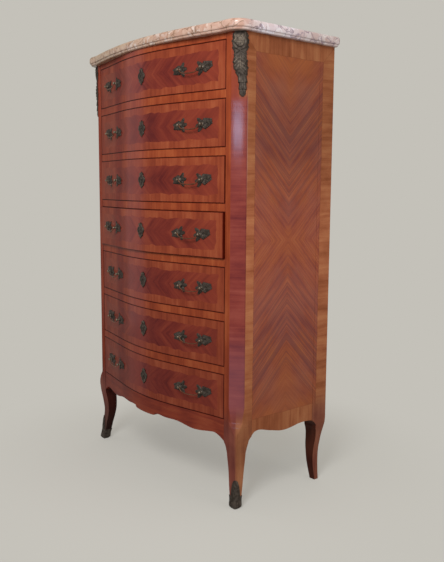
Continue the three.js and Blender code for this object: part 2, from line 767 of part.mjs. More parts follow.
function shoeGeometry() {
  const corner = { ...frontCorner, side: shoeSide };
  const outside = solid(pile(shoeShares.map((level) => {
    return { z: level.at * shoeLeafHeight, outline: postOutline(level, corner) };
  })));
  const foot = footLevel();
  const grown = { ...frontCorner, grow: fitGap };
  const inside = [{ z: shoeSole, outline: postOutline(foot.level, grown) }];
  for (const level of [...frontLegShares].reverse()) {
    inside.push({ z: legLevel(level.at), outline: postOutline(level, grown) });
  }
  const shell = outside.subtract(solid(pile(inside)));
  const across = new THREE.Vector3(1, 1, 0).normalize();
  const reach = shoeSide + overrun;
  const middle = new THREE.Vector3(caseHalf - cantWidth / 2, cantDepth / 2, 0);
  const cuff = [
    new THREE.Vector2(-reach, -overrun),
    new THREE.Vector2(reach, -overrun),
    new THREE.Vector2(reach, shoeCuffHeight),
    new THREE.Vector2(-reach, shoeCuffHeight),
  ];
  const leafRise = shoeLeafHeight - shoeCuffHeight + overrun;
  const leafRight = shoeLeafShares.map(([u, v]) => {
    return new THREE.Vector2(u * shoeLeafWidth, shoeCuffHeight - overrun + v * leafRise);
  });
  const leafLeft = leafRight.slice(0, -1).map((point) => new THREE.Vector2(-point.x, point.y));
  const leaf = [...leafRight, ...leafLeft.reverse()];
  const outward = new THREE.Vector3().crossVectors(across, axisZ);
  const cuffStart = middle.clone().addScaledVector(outward, -2 * reach);
  const leafStart = middle.clone().addScaledVector(outward, -shoeSide / 2);
  const cuffBody = shell.intersect(solid(pushed(cuff, across, axisZ, 3 * reach, cuffStart)));
  const leafBody = shell.intersect(solid(pushed(leaf, across, axisZ, 2 * reach, leafStart)));
  return geometryOf(cuffBody.add(leafBody));
}

// Finishes
function finish(color, roughness, metalness) {
  return new THREE.MeshStandardMaterial({ color, roughness, metalness });
}
const finishes = {
  marble: finish("#d9c3bb", 0.3, 0),
  rail: finish("#a65a30", 0.35, 0),
  front: finish("#8c3f2b", 0.35, 0),
  side: finish("#87503a", 0.4, 0),
  leg: finish("#7d3a29", 0.35, 0),
  carcase: finish("#a98a62", 0.8, 0),
  bronze: finish("#4a4438", 0.45, 0.8),
};

// A named mesh in its own material
function piece(name, geometry, material) {
  const mesh = new THREE.Mesh(geometry, material.clone());
  mesh.name = name;
  return mesh;
}

// Adds a right-hand piece and its mirrored left-hand twin
function addPair(group, name, geometry, material) {
  group.add(piece(name + "_right", geometry, material));
  group.add(piece(name + "_left", mirrored(geometry), material));
}

const chest = new THREE.Group();
chest.add(piece("marble_top", marbleGeometry(), finishes.marble));
chest.add(piece("top_board", topBoardGeometry(), finishes.carcase));
chest.add(piece("top_rail", topRailGeometry(), finishes.rail));
chest.add(piece("front_apron", frontApronGeometry(), finishes.rail));
chest.add(piece("back_panel", backPanelGeometry(), finishes.carcase));
chest.add(piece("rear_rail", rearRailGeometry(), finishes.carcase));
const frontPost = postGeometry(frontLegShares, frontCorner, footLevel());
const rearPost = turnedToBack(postGeometry(rearLegShares, rearCorner, null));
addPair(chest, "front_post", frontPost, finishes.leg);
addPair(chest, "rear_post", rearPost, finishes.leg);
addPair(chest, "side_panel", geometryOf(solid(sidePanelGeometry())), finishes.side);
addPair(chest, "corner_mount", cornerMountGeometry(), finishes.bronze);
addPair(chest, "shoe", shoeGeometry(), finishes.bronze);

const bottomBoard = piece("bottom_board", bottomBoardGeometry(), finishes.carcase);
bottomBoard.position.z = openingBase;
chest.add(bottomBoard);

const divider = dividerGeometry();
for (let number = 1; number < drawerCount; number += 1) {
  const mesh = piece(`drawer_divider_${number}`, divider, finishes.rail);
  mesh.position.z = openingBase + (drawerCount - number) * drawerPitch;
  chest.add(mesh);
}

// The drawers, numbered from the top; two of them are not pushed quite home
const drawerProud = { 3: drawerThreeProud, 4: drawerFourProud };
const drawerFront = drawerFrontGeometry();
const drawerBox = drawerBoxGeometry();
const lock = lockGeometry();
const bail = geometryOf(solid(bailGeometry()));
for (let number = 1; number <= drawerCount; number += 1) {
  const drawer = new THREE.Group();
  drawer.position.z = openingBase + (drawerCount - number) * drawerPitch;
  drawer.position.y = -(drawerProud[number] ?? 0);
  drawer.add(piece(`drawer_front_${number}`, drawerFront, finishes.front));
  drawer.add(piece(`drawer_box_${number}`, drawerBox, finishes.carcase));
  drawer.add(piece(`lock_${number}`, lock, finishes.bronze));
  addPair(drawer, `bail_${number}`, bail, finishes.bronze);
  chest.add(drawer);
}

// The chest with its origin on the floor, under the middle of its whole depth
const semainier = new THREE.Group();
chest.position.y = (marbleFrontReach - caseDepth - marbleBackOverhang) / 2;
semainier.add(chest);

export default semainier;
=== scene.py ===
# %% [markdown]
# # A tall chest of seven drawers
# The chest stands on curved legs and has a bowed, veneered front and a marble top.
# A packed model gives every board, joint and size. This lesson dresses it: each part that
# shows gets a finer shape and a finish. Read the cells in order, because each one uses
# names that the cells before it made.

import json
import math

import bmesh
import bpy
from mathutils import Matrix, Vector

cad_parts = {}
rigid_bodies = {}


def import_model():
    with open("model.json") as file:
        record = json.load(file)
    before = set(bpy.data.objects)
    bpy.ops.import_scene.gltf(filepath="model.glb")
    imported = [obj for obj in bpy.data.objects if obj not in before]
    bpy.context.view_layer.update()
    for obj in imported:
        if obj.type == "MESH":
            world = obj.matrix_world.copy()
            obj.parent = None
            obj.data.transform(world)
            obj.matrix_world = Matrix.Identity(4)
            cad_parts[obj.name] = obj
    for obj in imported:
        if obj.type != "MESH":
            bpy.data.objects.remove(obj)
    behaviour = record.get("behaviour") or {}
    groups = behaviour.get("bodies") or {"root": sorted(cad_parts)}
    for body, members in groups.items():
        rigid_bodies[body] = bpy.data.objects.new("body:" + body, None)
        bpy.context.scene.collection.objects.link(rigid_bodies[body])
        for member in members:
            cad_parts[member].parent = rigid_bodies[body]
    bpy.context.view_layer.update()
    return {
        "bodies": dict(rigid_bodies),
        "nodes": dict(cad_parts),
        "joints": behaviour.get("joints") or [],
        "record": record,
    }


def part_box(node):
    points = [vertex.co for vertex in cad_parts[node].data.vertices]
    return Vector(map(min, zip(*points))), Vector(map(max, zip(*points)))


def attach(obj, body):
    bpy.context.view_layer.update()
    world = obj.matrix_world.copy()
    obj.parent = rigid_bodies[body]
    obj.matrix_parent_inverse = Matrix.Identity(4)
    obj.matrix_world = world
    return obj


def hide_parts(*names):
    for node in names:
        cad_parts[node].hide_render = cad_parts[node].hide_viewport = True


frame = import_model()

# %% [markdown]
# ## Sizes
# Blender works in metres, and furniture is thought of in millimetres. One named factor turns
# the second into the first. Places come from the frame wherever it holds them, so that a
# dressed piece lands on the board that it stands for.

# %% Sizes read from the frame, and the few that it does not hold
mm = 0.001
fit_gap = 0.3 * mm
front_bow = 51 * mm
post_width = 52 * mm
post_depth = 60 * mm
cant_width = 31 * mm
cant_depth = 27 * mm

top_rail_low, top_rail_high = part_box("top_rail")
case_top = top_rail_high.z
case_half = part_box("side_panel_right")[1].x
case_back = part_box("back_panel")[1].y
face_y = top_rail_low.y + front_bow
case_middle_y = (face_y + case_back) / 2
opening_half = case_half - post_width
opening_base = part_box("front_apron")[1].z
drawer_numbers = range(1, 8)
drawer_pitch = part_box("drawer_front_1")[0].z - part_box("drawer_front_2")[0].z
drawer_low, drawer_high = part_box("drawer_front_7")
drawer_height = drawer_high.z - drawer_low.z
drawer_half = drawer_high.x
drawer_reveal = drawer_low.z - opening_base
print("case top", round(case_top, 4), "drawer pitch", round(drawer_pitch, 4))


def drawer_base(number):
    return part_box(f"drawer_front_{number}")[0].z - drawer_reveal


def drawer_proud(number):
    """How far a drawer stands out of the case, read from its keyhole plate."""
    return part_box("lock_1")[0].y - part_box(f"lock_{number}")[0].y


print("proud drawers:", [n for n in drawer_numbers if drawer_proud(n) > fit_gap])

# %% [markdown]
# ## The bowed front
# Seen from above, the front is a shallow bow that runs out flat at the posts. One formula
# serves every rail, drawer and apron, so that they all stay flush. A second mix of the same
# two curves gives the marble, which is a little rounder.

# %% The bow as a function
front_round_share = 0.5
marble_round_share = 0.9


def bow_share(x, round_share):
    t = min(1.0, abs(x) / opening_half)
    wave = math.cos(math.pi * t / 2) ** 2
    return round_share * (1 - t * t) + (1 - round_share) * wave


def front_y(x):
    return face_y - front_bow * bow_share(x, front_round_share)


print("bow halfway to a post:", round((face_y - front_y(opening_half / 2)) / mm, 1), "mm")

# %% [markdown]
# ## Camera
# The camera stands to the right of the chest, a little above its middle, and looks slightly
# down. Its lens is plain, without shift or depth of field.

# %% Place the camera
camera_place = Vector((1.7958, face_y - 1.21296, 0.8927))
camera_turn = math.radians(50.668)
camera_dip = math.radians(7.477)
camera_roll = math.radians(0.3516)
camera_lens = 45.13

forward = Vector((
    -math.sin(camera_turn) * math.cos(camera_dip),
    math.cos(camera_turn) * math.cos(camera_dip),
    -math.sin(camera_dip),
))
level_right = forward.cross(Vector((0, 0, 1))).normalized()
level_up = level_right.cross(forward)
right = level_right * math.cos(camera_roll) + level_up * math.sin(camera_roll)
up = level_up * math.cos(camera_roll) - level_right * math.sin(camera_roll)
camera_data = bpy.data.cameras.new("camera")
camera_data.lens = camera_lens
camera = bpy.data.objects.new("camera", camera_data)
axes = Matrix((right, up, -forward)).transposed()
camera.matrix_world = Matrix.Translation(camera_place) @ axes.to_4x4()
bpy.context.scene.collection.objects.link(camera)
bpy.context.scene.camera = camera
bpy.context.scene.view_settings.view_transform = "Standard"
print("camera at", [round(c, 3) for c in camera_place])

# %% [markdown]
# ## Shader maths as Python
# Node graphs grow quickly, and most of their nodes only add or multiply. The small class
# below wraps a socket, so that a line such as `1 - mask * 2` adds the Math nodes by itself.
# Vectors go through Vector Math, and colours through Mix, because Math would turn them grey.

# %% A socket that can be added and multiplied
class Wire:
    """One output socket of a graph."""

    def __init__(self, graph, socket):
        self.graph = graph
        self.socket = socket

    def joined(self, operation, first, second):
        flat = ("VALUE", "INT")
        sides = [s for s in (first, second) if isinstance(s, Wire)]
        kind = "Math" if all(s.socket.type in flat for s in sides) else "VectorMath"
        return self.graph.node(kind, {"operation": operation}, {0: first, 1: second})

    def __add__(self, other):
        return self.joined("ADD", self, other)

    def __radd__(self, other):
        return self.joined("ADD", other, self)

    def __sub__(self, other):
        return self.joined("SUBTRACT", self, other)

    def __rsub__(self, other):
        return self.joined("SUBTRACT", other, self)

    def __mul__(self, other):
        return self.joined("MULTIPLY", self, other)

    def __rmul__(self, other):
        return self.joined("MULTIPLY", other, self)

    def __truediv__(self, other):
        return self.joined("DIVIDE", self, other)

    def __pow__(self, other):
        return self.joined("POWER", self, other)

    def __abs__(self):
        return self.graph.node("Math", {"operation": "ABSOLUTE"}, {0: self})


print("signs a wire knows: + - * / ** and abs")

# %% [markdown]
# ## Colours
# A colour is easiest to choose as it looks on screen, from 0 to 255. The renderer counts
# light instead, which grows much faster than what the eye sees. One helper turns the first
# into the second, with the curve that every screen uses.

# %% Colours as they look on screen
def paint(red, green, blue):
    """A colour given as it looks on screen, from 0 to 255, in the renderer's own light."""
    screen = [c / 255 for c in (red, green, blue)]
    return tuple(c / 12.92 if c <= 0.04045 else ((c + 0.055) / 1.055) ** 2.4 for c in screen)


print("a middle grey gives off", round(paint(128, 128, 128)[0], 3), "of white's light")

# %% [markdown]
# ## A graph of nodes
# The graph fills a tree of nodes. Its `node` method adds any node, and a few short methods
# name the ones that wood, stone and bronze need again and again: noise, a soft step from 0
# to 1, a mix of two colours, and a ramp. A place on a piece is read in the object's own
# coordinates, so the finish stays on the wood when a drawer slides.

# %% A tree of nodes
class Graph:
    """A tree of nodes that Python expressions fill."""

    def __init__(self, tree, end):
        self.tree = tree
        tree.nodes.clear()
        self.end = self.node(end)

    def surface(self, shader):
        self.plug(self.end.inputs["Surface"], shader)

    def plug(self, socket, value):
        if isinstance(value, Wire):
            self.tree.links.new(value.socket, socket)
        elif socket.type == "RGBA":
            socket.default_value = (*value, 1.0)
        else:
            socket.default_value = value

    def node(self, kind, settings=None, inputs=None, output=0):
        made = self.tree.nodes.new("ShaderNode" + kind)
        for key, value in (settings or {}).items():
            if key != "stops":
                setattr(made, key, value)
                continue
            elements = made.color_ramp.elements
            while len(elements) < len(value):
                elements.new(1.0)
            for element, (place, colour) in zip(elements, value):
                element.position = place
                element.color = (*colour, 1.0)
        for key, value in (inputs or {}).items():
            self.plug(made.inputs[key], value)
        return Wire(self, made.outputs[output]) if len(made.outputs) else made

    def place(self):
        """X, Y and Z on the piece, in metres."""
        spot = self.node("TexCoord", output="Object")
        return [self.node("SeparateXYZ", {}, {0: spot}, axis) for axis in "XYZ"]

    def facing(self):
        """X, Y and Z of the way that the surface faces."""
        way = self.node("TexCoord", output="Normal")
        return [self.node("SeparateXYZ", {}, {0: way}, axis) for axis in "XYZ"]

    def vector(self, x, y, z):
        return self.node("CombineXYZ", {}, {0: x, 1: y, 2: z})

    def noise(self, spot, scale=1.0, detail=2.0, roughness=0.5):
        inputs = {"Vector": spot, "Scale": scale, "Detail": detail, "Roughness": roughness}
        return self.node("TexNoise", {}, inputs)

    def step(self, value, start, end):
        """0 below the start, 1 above the end, and smooth between."""
        inputs = {"Value": value, "From Min": start, "From Max": end}
        return self.node("MapRange", {"interpolation_type": "SMOOTHSTEP"}, inputs)

    def mix(self, factor, first, second):
        inputs = {0: factor, 6: first, 7: second}
        return self.node("Mix", {"data_type": "RGBA"}, inputs, output=2)

    def tint(self, factor, colour, by):
        settings = {"data_type": "RGBA", "blend_type": "MULTIPLY"}
        return self.node("Mix", settings, {0: factor, 6: colour, 7: by}, output=2)

    def ramp(self, value, stops):
        return self.node("ValToRGB", {"stops": stops}, {0: value})


print("a graph can make:", [name for name in vars(Graph) if not name.startswith("_")])

# %% [markdown]
# ## A finish
# A finish is a graph that ends in one Principled shader. That one shader covers polish,
# stone and metal, so a finish only has to say what its colour, roughness and small relief
# do.

# %% A material
class Finish(Graph):
    """A material made by Python expressions."""

    def __init__(self, name, settings):
        self.material = bpy.data.materials.new(name)
        self.material.use_nodes = True
        super().__init__(self.material.node_tree, "OutputMaterial")
        self.shader = self.node("BsdfPrincipled")
        self.surface(self.shader)
        for key, value in settings.items():
            self.set(key, value)

    def set(self, name, value):
        self.plug(self.shader.socket.node.inputs[name], value)

    def bump(self, height, distance, strength):
        inputs = {"Height": height, "Distance": distance, "Strength": strength}
        self.set("Normal", self.node("Bump", {}, inputs))


print("a finish adds:", [name for name in vars(Finish) if not name.startswith("_")])

# %% [markdown]
# ## Veneer
# Veneer is a thin sheet of wood. Its streaks are long along the grain and narrow across it,
# so the same noise is stretched by a different amount each way. Three layers are enough:
# broad figure, fine streaks, and the short dark pores that the polish never quite fills.
# Every layer is cut from another place in the noise, or their edges would all fall together.

# %% One sheet of veneer
cloud_length = 90 * mm
cloud_width = 38 * mm
figure_length = 260 * mm
figure_width = 10 * mm
line_length = 190 * mm
line_width = 2.4 * mm
pore_length = 12 * mm
pore_width = 0.5 * mm
sway_length = 160 * mm
sway_width = 70 * mm
sway_reach = 20 * mm
cloud_cut, figure_cut, line_cut, pore_cut = 1.3, 2.9, 5.1, 8.1
cloud_share, figure_share, line_share = 0.5, 0.34, 0.16
dark_stop, middle_stop, light_stop = 0.38, 0.5, 0.62
streak_edge = 0.54, 0.7
streak_patch = 0.42, 0.6
streak_tint = (0.34, 0.22, 0.26)
pore_edge = 0.56, 0.72
pore_strength = 0.35
pore_tint = (0.4, 0.3, 0.28)


def veneer(graph, along, across, sheet, tones, wave=1.0, lines=0.5):
    """A veneer's colour and its pores; along and across are metres on the sheet."""
    dark, middle, light = tones
    bent = graph.vector(along / sway_length, across / sway_width, sheet)
    across = across + (graph.noise(bent, detail=2.0) - 0.5) * (sway_reach * wave)

    def layer(length, width, cut, detail=2.0):
        return graph.noise(graph.vector(along / length, across / width, sheet + cut), detail=detail)

    cloud = layer(cloud_length, cloud_width, cloud_cut, 4.0)
    figure = layer(figure_length, figure_width, figure_cut, 3.0)
    line = layer(line_length, line_width, line_cut)
    pores = layer(pore_length, pore_width, pore_cut)
    tone = cloud * cloud_share + figure * figure_share + line * line_share
    colour = graph.ramp(tone, [(dark_stop, dark), (middle_stop, middle), (light_stop, light)])
    streak = graph.step(line, *streak_edge) * graph.step(figure, *streak_patch)
    colour = graph.tint(streak * lines, colour, streak_tint)
    hollow = graph.step(pores, *pore_edge)
    return graph.tint(hollow * pore_strength, colour, pore_tint), hollow


print("figure", round(figure_length / figure_width), "times as long as wide")

# %% [markdown]
# Matching is done with the coordinates: an absolute value mirrors a sheet about its middle,
# which is how a cabinet maker opens one leaf of veneer like a book. Mirrored both ways, four
# leaves meet in the middle.

# %% Matched sheets
def matched(from_centre, from_middle, angle):
    """Grain coordinates of a sheet mirrored about its middle both ways."""
    lean = math.radians(angle)
    along = from_centre * math.cos(lean) + from_middle * math.sin(lean)
    across = from_middle * math.cos(lean) - from_centre * math.sin(lean)
    return along, across


print("10 mm sideways at 45 degrees:", [round(v, 1) for v in matched(10, 0, 45)])

# %% [markdown]
# ## Polish
# The polish is old shellac: smooth, but thin and a little dull. Where two pieces meet, shade
# is painted into the colour, so it darkens within a hair of every gap.

# %% Polish and the painted shade along each gap
polish = {
    "Roughness": 0.42, "IOR": 1.09, "Coat Weight": 0.16, "Coat Roughness": 0.14, "Coat IOR": 1.4,
}
pore_depth = 0.05 * mm
pore_bump = 0.5
# Painted shade along each gap: the colour darkens near every edge where two pieces meet.
gap_shade_inner = 0.2 * mm
gap_shade_width = 2.1 * mm
gap_shade_colour = (0.28, 0.12, 0.11)
band_tones = paint(132, 56, 32), paint(150, 68, 38), paint(166, 84, 48)


def gap_shaded(graph, colour, *distances):
    """Paints shade into a colour where any distance to an edge is short."""
    unshaded = 1.0
    for distance in distances:
        unshaded = graph.step(distance, gap_shade_inner, gap_shade_width) * unshaded
    return graph.tint(1 - unshaded, colour, gap_shade_colour)


def veneered(graph, colour, pores):
    """Gives a finish its colour, and lets the pores sink into the polish."""
    graph.set("Base Color", colour)
    graph.bump(1 - pores, pore_depth, pore_bump)
    return graph.material


print("polish", polish)

# %% [markdown]
# ## Painted shade and reflections
# The front is painted darker towards its foot and its left side, as shade where less light
# falls, and painted reflections lie there in soft upright bands, one dark red and one pale.
# These helpers tint any veneer of the front by its place on the chest, so that rails and
# drawers keep in step.

# %% Painted shade and reflections on the front
# Painted shade: the front is darker towards its foot and its left side, where less light falls.
foot_shade = 0.2, 0.85
foot_shade_strength = 0.6
foot_shade_tint = (0.64, 0.62, 0.78)
left_shade = -0.3, 0.15
left_shade_strength = 0.78
left_shade_tint = (0.75, 0.5, 0.46)
# Painted reflections on the front: a dark red upright band and a paler one beside it.
dark_reflection_x = -0.165
dark_reflection_edge = 15 * mm, 45 * mm
dark_reflection_strength = 0.9
dark_reflection_tint = (0.7, 0.4, 0.42)
pale_reflection_starts = -0.12, -0.08
pale_reflection_ends = -0.02, 0.04
pale_reflection_strength = 0.24
pale_reflection_colour = paint(150, 80, 74)
back_face = 0.4, 0.6


def shaded_by_place(graph, colour, x, z):
    """Painted shade: the front is darker towards its foot and towards its left side."""
    low = 1 - graph.step(z, *foot_shade)
    left = 1 - graph.step(x, *left_shade)
    colour = graph.tint(left * left_shade_strength, colour, left_shade_tint)
    return graph.tint(low * foot_shade_strength, colour, foot_shade_tint)


def with_painted_reflections(graph, colour, x):
    """Painted reflections: a dark red upright band and a paler one beside it."""
    dark_reflection = 1 - graph.step(abs(x - dark_reflection_x), *dark_reflection_edge)
    pale_reflection = graph.step(x, *pale_reflection_starts) * (1 - graph.step(x, *pale_reflection_ends))
    colour = graph.mix(pale_reflection * pale_reflection_strength, colour, pale_reflection_colour)
    return graph.tint(dark_reflection * dark_reflection_strength, colour, dark_reflection_tint)


def backed(graph, colour, wood):
    """Veneer covers the front alone; a face that looks back shows the bare board."""
    return graph.mix(graph.step(graph.facing()[1], *back_face), colour, wood)


print("darker below", foot_shade[1], "m and left of", left_shade[1], "m")

# %% [markdown]
# ## Drawer veneer
# Each drawer front is a dark field, quarter-matched about its middle, inside a lighter
# crossband. The edge between them was cut by hand and wavers a little. The height inside
# one drawer is found by taking away as many whole pitches as lie below it.

# %% Drawer front finish
band_height = 22 * mm
band_end = 25 * mm
band_blur = 0.5 * mm
field_lean = 40
field_tones = paint(92, 32, 30), paint(118, 46, 36), paint(136, 60, 42)
# Painted shade on the field towards the foot.
field_foot_shade_strength = 0.5
waver_reach = 15 * mm
waver_length = 35 * mm
waver_height = 30 * mm
waver_drift = 9
band_tint = (0.9, 0.92, 1.12)
left_pale = -0.26, 0.0
left_pale_strength = 0.42
left_pale_colour = paint(148, 70, 42)
right_pale = 0.08, 0.3
right_pale_strength = 0.3
right_pale_colour = paint(156, 70, 46)
bare_board = paint(172, 138, 96)


def above_shelf(graph, z):
    """The number of the opening that a height lies in, and the height within it."""
    climb = (z - opening_base) / drawer_pitch
    number = graph.node("Math", {"operation": "FLOOR"}, {0: climb})
    return number, (climb - number) * drawer_pitch


def field_mask(graph, x, level, number, from_centre, from_middle):
    """1 on the field of a drawer front and 0 on its crossband."""
    lengthwise = graph.vector(x / waver_length, number * 5.3, level * waver_drift)
    endwise = graph.vector(level / waver_height, number * 3.1, x * waver_drift)
    edge = drawer_height / 2 - band_height
    edge = edge + (graph.noise(lengthwise, detail=1.0) - 0.5) * waver_reach
    end = drawer_half - band_end
    end = end + (graph.noise(endwise, detail=1.0) - 0.5) * waver_reach
    inside = graph.step(edge - from_middle, -band_blur, band_blur)
    return inside * graph.step(end - from_centre, -band_blur, band_blur)


def drawer_veneer():
    graph = Finish("drawer_veneer", polish)
    x, _, z = graph.place()
    number, level = above_shelf(graph, z)
    from_middle = abs(level - (drawer_height / 2 + drawer_reveal))
    from_centre = abs(x)
    inside = field_mask(graph, x, level, number, from_centre, from_middle)
    along, across = matched(from_centre, from_middle, field_lean)
    field, field_pores = veneer(graph, along, across, number * 2.3 + 0.4, field_tones, 1.4, 0.45)
    band, band_pores = veneer(graph, level, x, number * 1.7 + 5.0, band_tones, 0.3, 0.1)
    at_left = 1 - graph.step(x, *left_pale)
    field = graph.mix(at_left * left_pale_strength, field, left_pale_colour)
    at_right = graph.step(x, *right_pale)
    field = graph.mix(at_right * right_pale_strength, field, right_pale_colour)
    # Painted shade: the field darkens towards the foot, and the crossband towards the foot and the
    # left.
    low = 1 - graph.step(z, *foot_shade)
    field = graph.tint(low * field_foot_shade_strength, field, foot_shade_tint)
    band = shaded_by_place(graph, graph.tint(1.0, band, band_tint), x, z)
    # Painted reflections: a dark red upright band and a paler one.
    colour = with_painted_reflections(graph, graph.mix(inside, band, field), x)
    # Painted shade within a hair of the drawer front's edges.
    rim = drawer_height / 2 - from_middle
    colour = gap_shaded(graph, colour, rim, drawer_half - from_centre)
    pores = band_pores + (field_pores - band_pores) * inside
    return veneered(graph, backed(graph, colour, bare_board), pores)


drawer_finish = drawer_veneer()
print("made", drawer_finish.name)

# %% [markdown]
# ## Rails and apron
# The rails between the drawers and the apron below them carry the same warm veneer as the
# crossbands. Its grain stands upright on the rails, and lies along the apron. The apron gets
# a little less painted shade than its height alone would give it, so its shade is read higher up.

# %% Rail and apron finishes
divider_height = 23 * mm
apron_tones = paint(108, 42, 32), paint(136, 58, 38), paint(154, 76, 48)
# The apron's painted shade is read a little higher up.
apron_shade_lift = 0.2


def rail_veneer():
    graph = Finish("rail_veneer", polish)
    x, _, z = graph.place()
    _, level = above_shelf(graph, z)
    colour, pores = veneer(graph, z, x, 11.0, band_tones, 0.3, 0.1)
    # Painted shade by place on the front, and the painted reflection bands.
    colour = with_painted_reflections(graph, shaded_by_place(graph, colour, x, z), x)
    # Painted shade along the rail's upper and lower edges.
    above = level - (drawer_pitch - divider_height)
    below = drawer_pitch - level
    return veneered(graph, gap_shaded(graph, colour, above, below), pores)


def apron_veneer():
    graph = Finish("apron_veneer", polish)
    x, _, z = graph.place()
    colour, pores = veneer(graph, x, z, 21.0, apron_tones)
    # Painted shade by place on the front, read a little higher up.
    colour = shaded_by_place(graph, colour, x, z + apron_shade_lift)
    # Painted shade along the apron's upper edge.
    return veneered(graph, gap_shaded(graph, colour, opening_base - z), pores)


rail_finish = rail_veneer()
apron_finish = apron_veneer()
print("made", rail_finish.name, "and", apron_finish.name)

# %% [markdown]
# ## Side field
# A side is one big quarter-matched field with a paler band round it. The streaks of its
# upper half make a V and those of its lower half the same turned over. Soft haze breaks the
# figure up, thin inky lines sharpen it again, and its far corners are more orange.

# %% The field of the side
side_field_front = face_y + 60 * mm
side_field_back = face_y + 316 * mm
side_field_low = 252 * mm
side_field_high = 1249 * mm
side_lean = 46
side_squeeze = 1.6
side_field_tones = paint(118, 58, 46), paint(138, 74, 52), paint(149, 86, 58)
haze_width = 100 * mm
haze_height = 160 * mm
hazy = 0.42, 0.68
hazy_strength = 0.35
hazy_colour = paint(126, 78, 70)
clear = 0.0, 0.16
clear_strength = 0.3
clear_colour = paint(150, 84, 42)
ink_length = 600 * mm
ink_width = 3.6 * mm
ink_edge = 0.48, 0.6
ink_starts = 0.0, 0.12
ink_ends = 0.2, 0.28
ink_least = 0.4
ink_more = 0.5
ink_strength = 0.56
ink_colour = paint(88, 52, 54)
orange_corner = 0.23, 0.34
orange_strength = 0.42
orange_colour = paint(156, 88, 46)


def side_field(graph, from_centre, from_middle, z):
    """Colour and pores of the quarter-matched field."""
    along, across = matched(from_centre, from_middle, side_lean)
    squeezed = across * side_squeeze
    field, pores = veneer(graph, along, squeezed, 31.0, side_field_tones, 0.2, 0.7)
    spot = graph.vector(from_centre / haze_width, z / haze_height, 33.0)
    haze = graph.noise(spot, detail=3.0)
    field = graph.mix(graph.step(haze, *hazy) * hazy_strength, field, hazy_colour)
    field = graph.mix(graph.step(0.5 - haze, *clear) * clear_strength, field, clear_colour)
    lined = graph.step(across, *ink_starts) * (1 - graph.step(across, *ink_ends))
    lines = graph.noise(graph.vector(along / ink_length, across / ink_width, 35.0), detail=1.0)
    inked = (lined * ink_more + ink_least) * graph.step(lines, *ink_edge)
    field = graph.mix(inked * ink_strength, field, ink_colour)
    far = graph.step(across, *orange_corner) * orange_strength
    return graph.mix(far, field, orange_colour), pores


print("side field", round((side_field_back - side_field_front) / mm), "mm wide")

# %% [markdown]
# ## Side bands
# The bands run across the posts too, so one function colours the panel and the posts' side
# faces. They meet in mitres, with a thin dark line along each joint. Painted light brightens
# the middle of the side.

# %% Side veneer, for the panel and for the posts beside it
side_band_tones = paint(126, 70, 42), paint(147, 87, 56), paint(162, 104, 68)
side_waver = 60 * mm
side_waver_reach = 6 * mm
mitre_blur = 0.3 * mm
front_half_tint = (0.76, 0.64, 0.6)
front_half_strength = 0.5
joint_tint = (0.4, 0.3, 0.3)
mitre_width = 0.8 * mm
mitre_soft = 0.6 * mm
mitre_strength = 0.7
seam_width = 2.5 * mm
seam_soft = 2 * mm
seam_strength = 0.3
# Painted light: the middle of the side is brightened.
side_light_starts = 0.15, 0.72
side_light_ends = 0.78, 1.05
side_light_by = (1.27, 1.24, 1.3)


def side_band(graph, y, z, past_y, past_z, middle_y):
    """Colour and pores of the bands round the field."""
    upright, pores = veneer(graph, y, z, 37.0, side_band_tones, 1.0, 0.25)
    level, _ = veneer(graph, z, y, 39.0, side_band_tones, 1.0, 0.2)
    is_level = graph.step(past_z - past_y, -mitre_blur, mitre_blur)
    band = graph.mix(is_level, upright, level)
    rear_half = is_level * graph.step(y - middle_y, -mitre_blur, mitre_blur)
    front_half = is_level * (1 - rear_half)
    band = graph.tint(front_half * front_half_strength, band, front_half_tint)
    mitre = graph.step(mitre_width - abs(past_z - past_y), 0.0, mitre_soft)
    return graph.tint(mitre * mitre_strength, band, joint_tint), pores


def side_colour(graph, y, z):
    """Colour and pores of the side of the case."""
    middle_y = (side_field_front + side_field_back) / 2
    middle_z = (side_field_low + side_field_high) / 2
    half_y = (side_field_back - side_field_front) / 2
    half_z = (side_field_high - side_field_low) / 2
    from_centre = abs(y - middle_y)
    from_middle = abs(z - middle_z)
    field, field_pores = side_field(graph, from_centre, from_middle, z)
    waver = graph.noise(graph.vector(y / side_waver, z / side_waver, 3.0), detail=2.0) - 0.5
    past_y = from_centre - half_y + waver * side_waver_reach
    past_z = from_middle - half_z + waver * side_waver_reach
    band, band_pores = side_band(graph, y, z, past_y, past_z, middle_y)
    past_field = past_y + past_z + abs(past_y - past_z)
    outside = graph.step(past_field, -mitre_width, mitre_width)
    seam = graph.step(seam_width - abs(past_field), 0.0, seam_soft)
    colour = graph.tint(seam * seam_strength, graph.mix(outside, field, band), joint_tint)
    # Painted light brightens the middle of the side.
    side_light = graph.step(z, *side_light_starts) * (1 - graph.step(z, *side_light_ends))
    colour = graph.tint(side_light, colour, side_light_by)
    return colour, field_pores + (band_pores - field_pores) * outside


def side_veneer():
    graph = Finish("side_veneer", polish)
    _, y, z = graph.place()
    return veneered(graph, *side_colour(graph, y, z))


side_finish = side_veneer()
print("made", side_finish.name)

# %% [markdown]
# ## Canted corner
# A post shows three faces: a narrow front, a canted corner laid with short horizontal grain,
# and a side. How far a point lies along the cant tells them apart. The cant's strip laps
# over the rounded rear arris and narrows to a point where the leg begins.

# %% The strip on the cant
cant_long = math.hypot(cant_width, cant_depth)
cant_along = Vector((cant_width / cant_long, cant_depth / cant_long, 0))
cant_middle = Vector((case_half - cant_width / 2, face_y + cant_depth / 2, 0))
cant_tones = paint(104, 42, 42), paint(126, 55, 48), paint(140, 68, 58)
strip_foot = 213 * mm
strip_full = 292 * mm
strip_starts = 223 * mm, 305 * mm
left_strip_starts = 0.26, 0.36
strip_blur = 0.8 * mm
arris_lap = 3 * mm
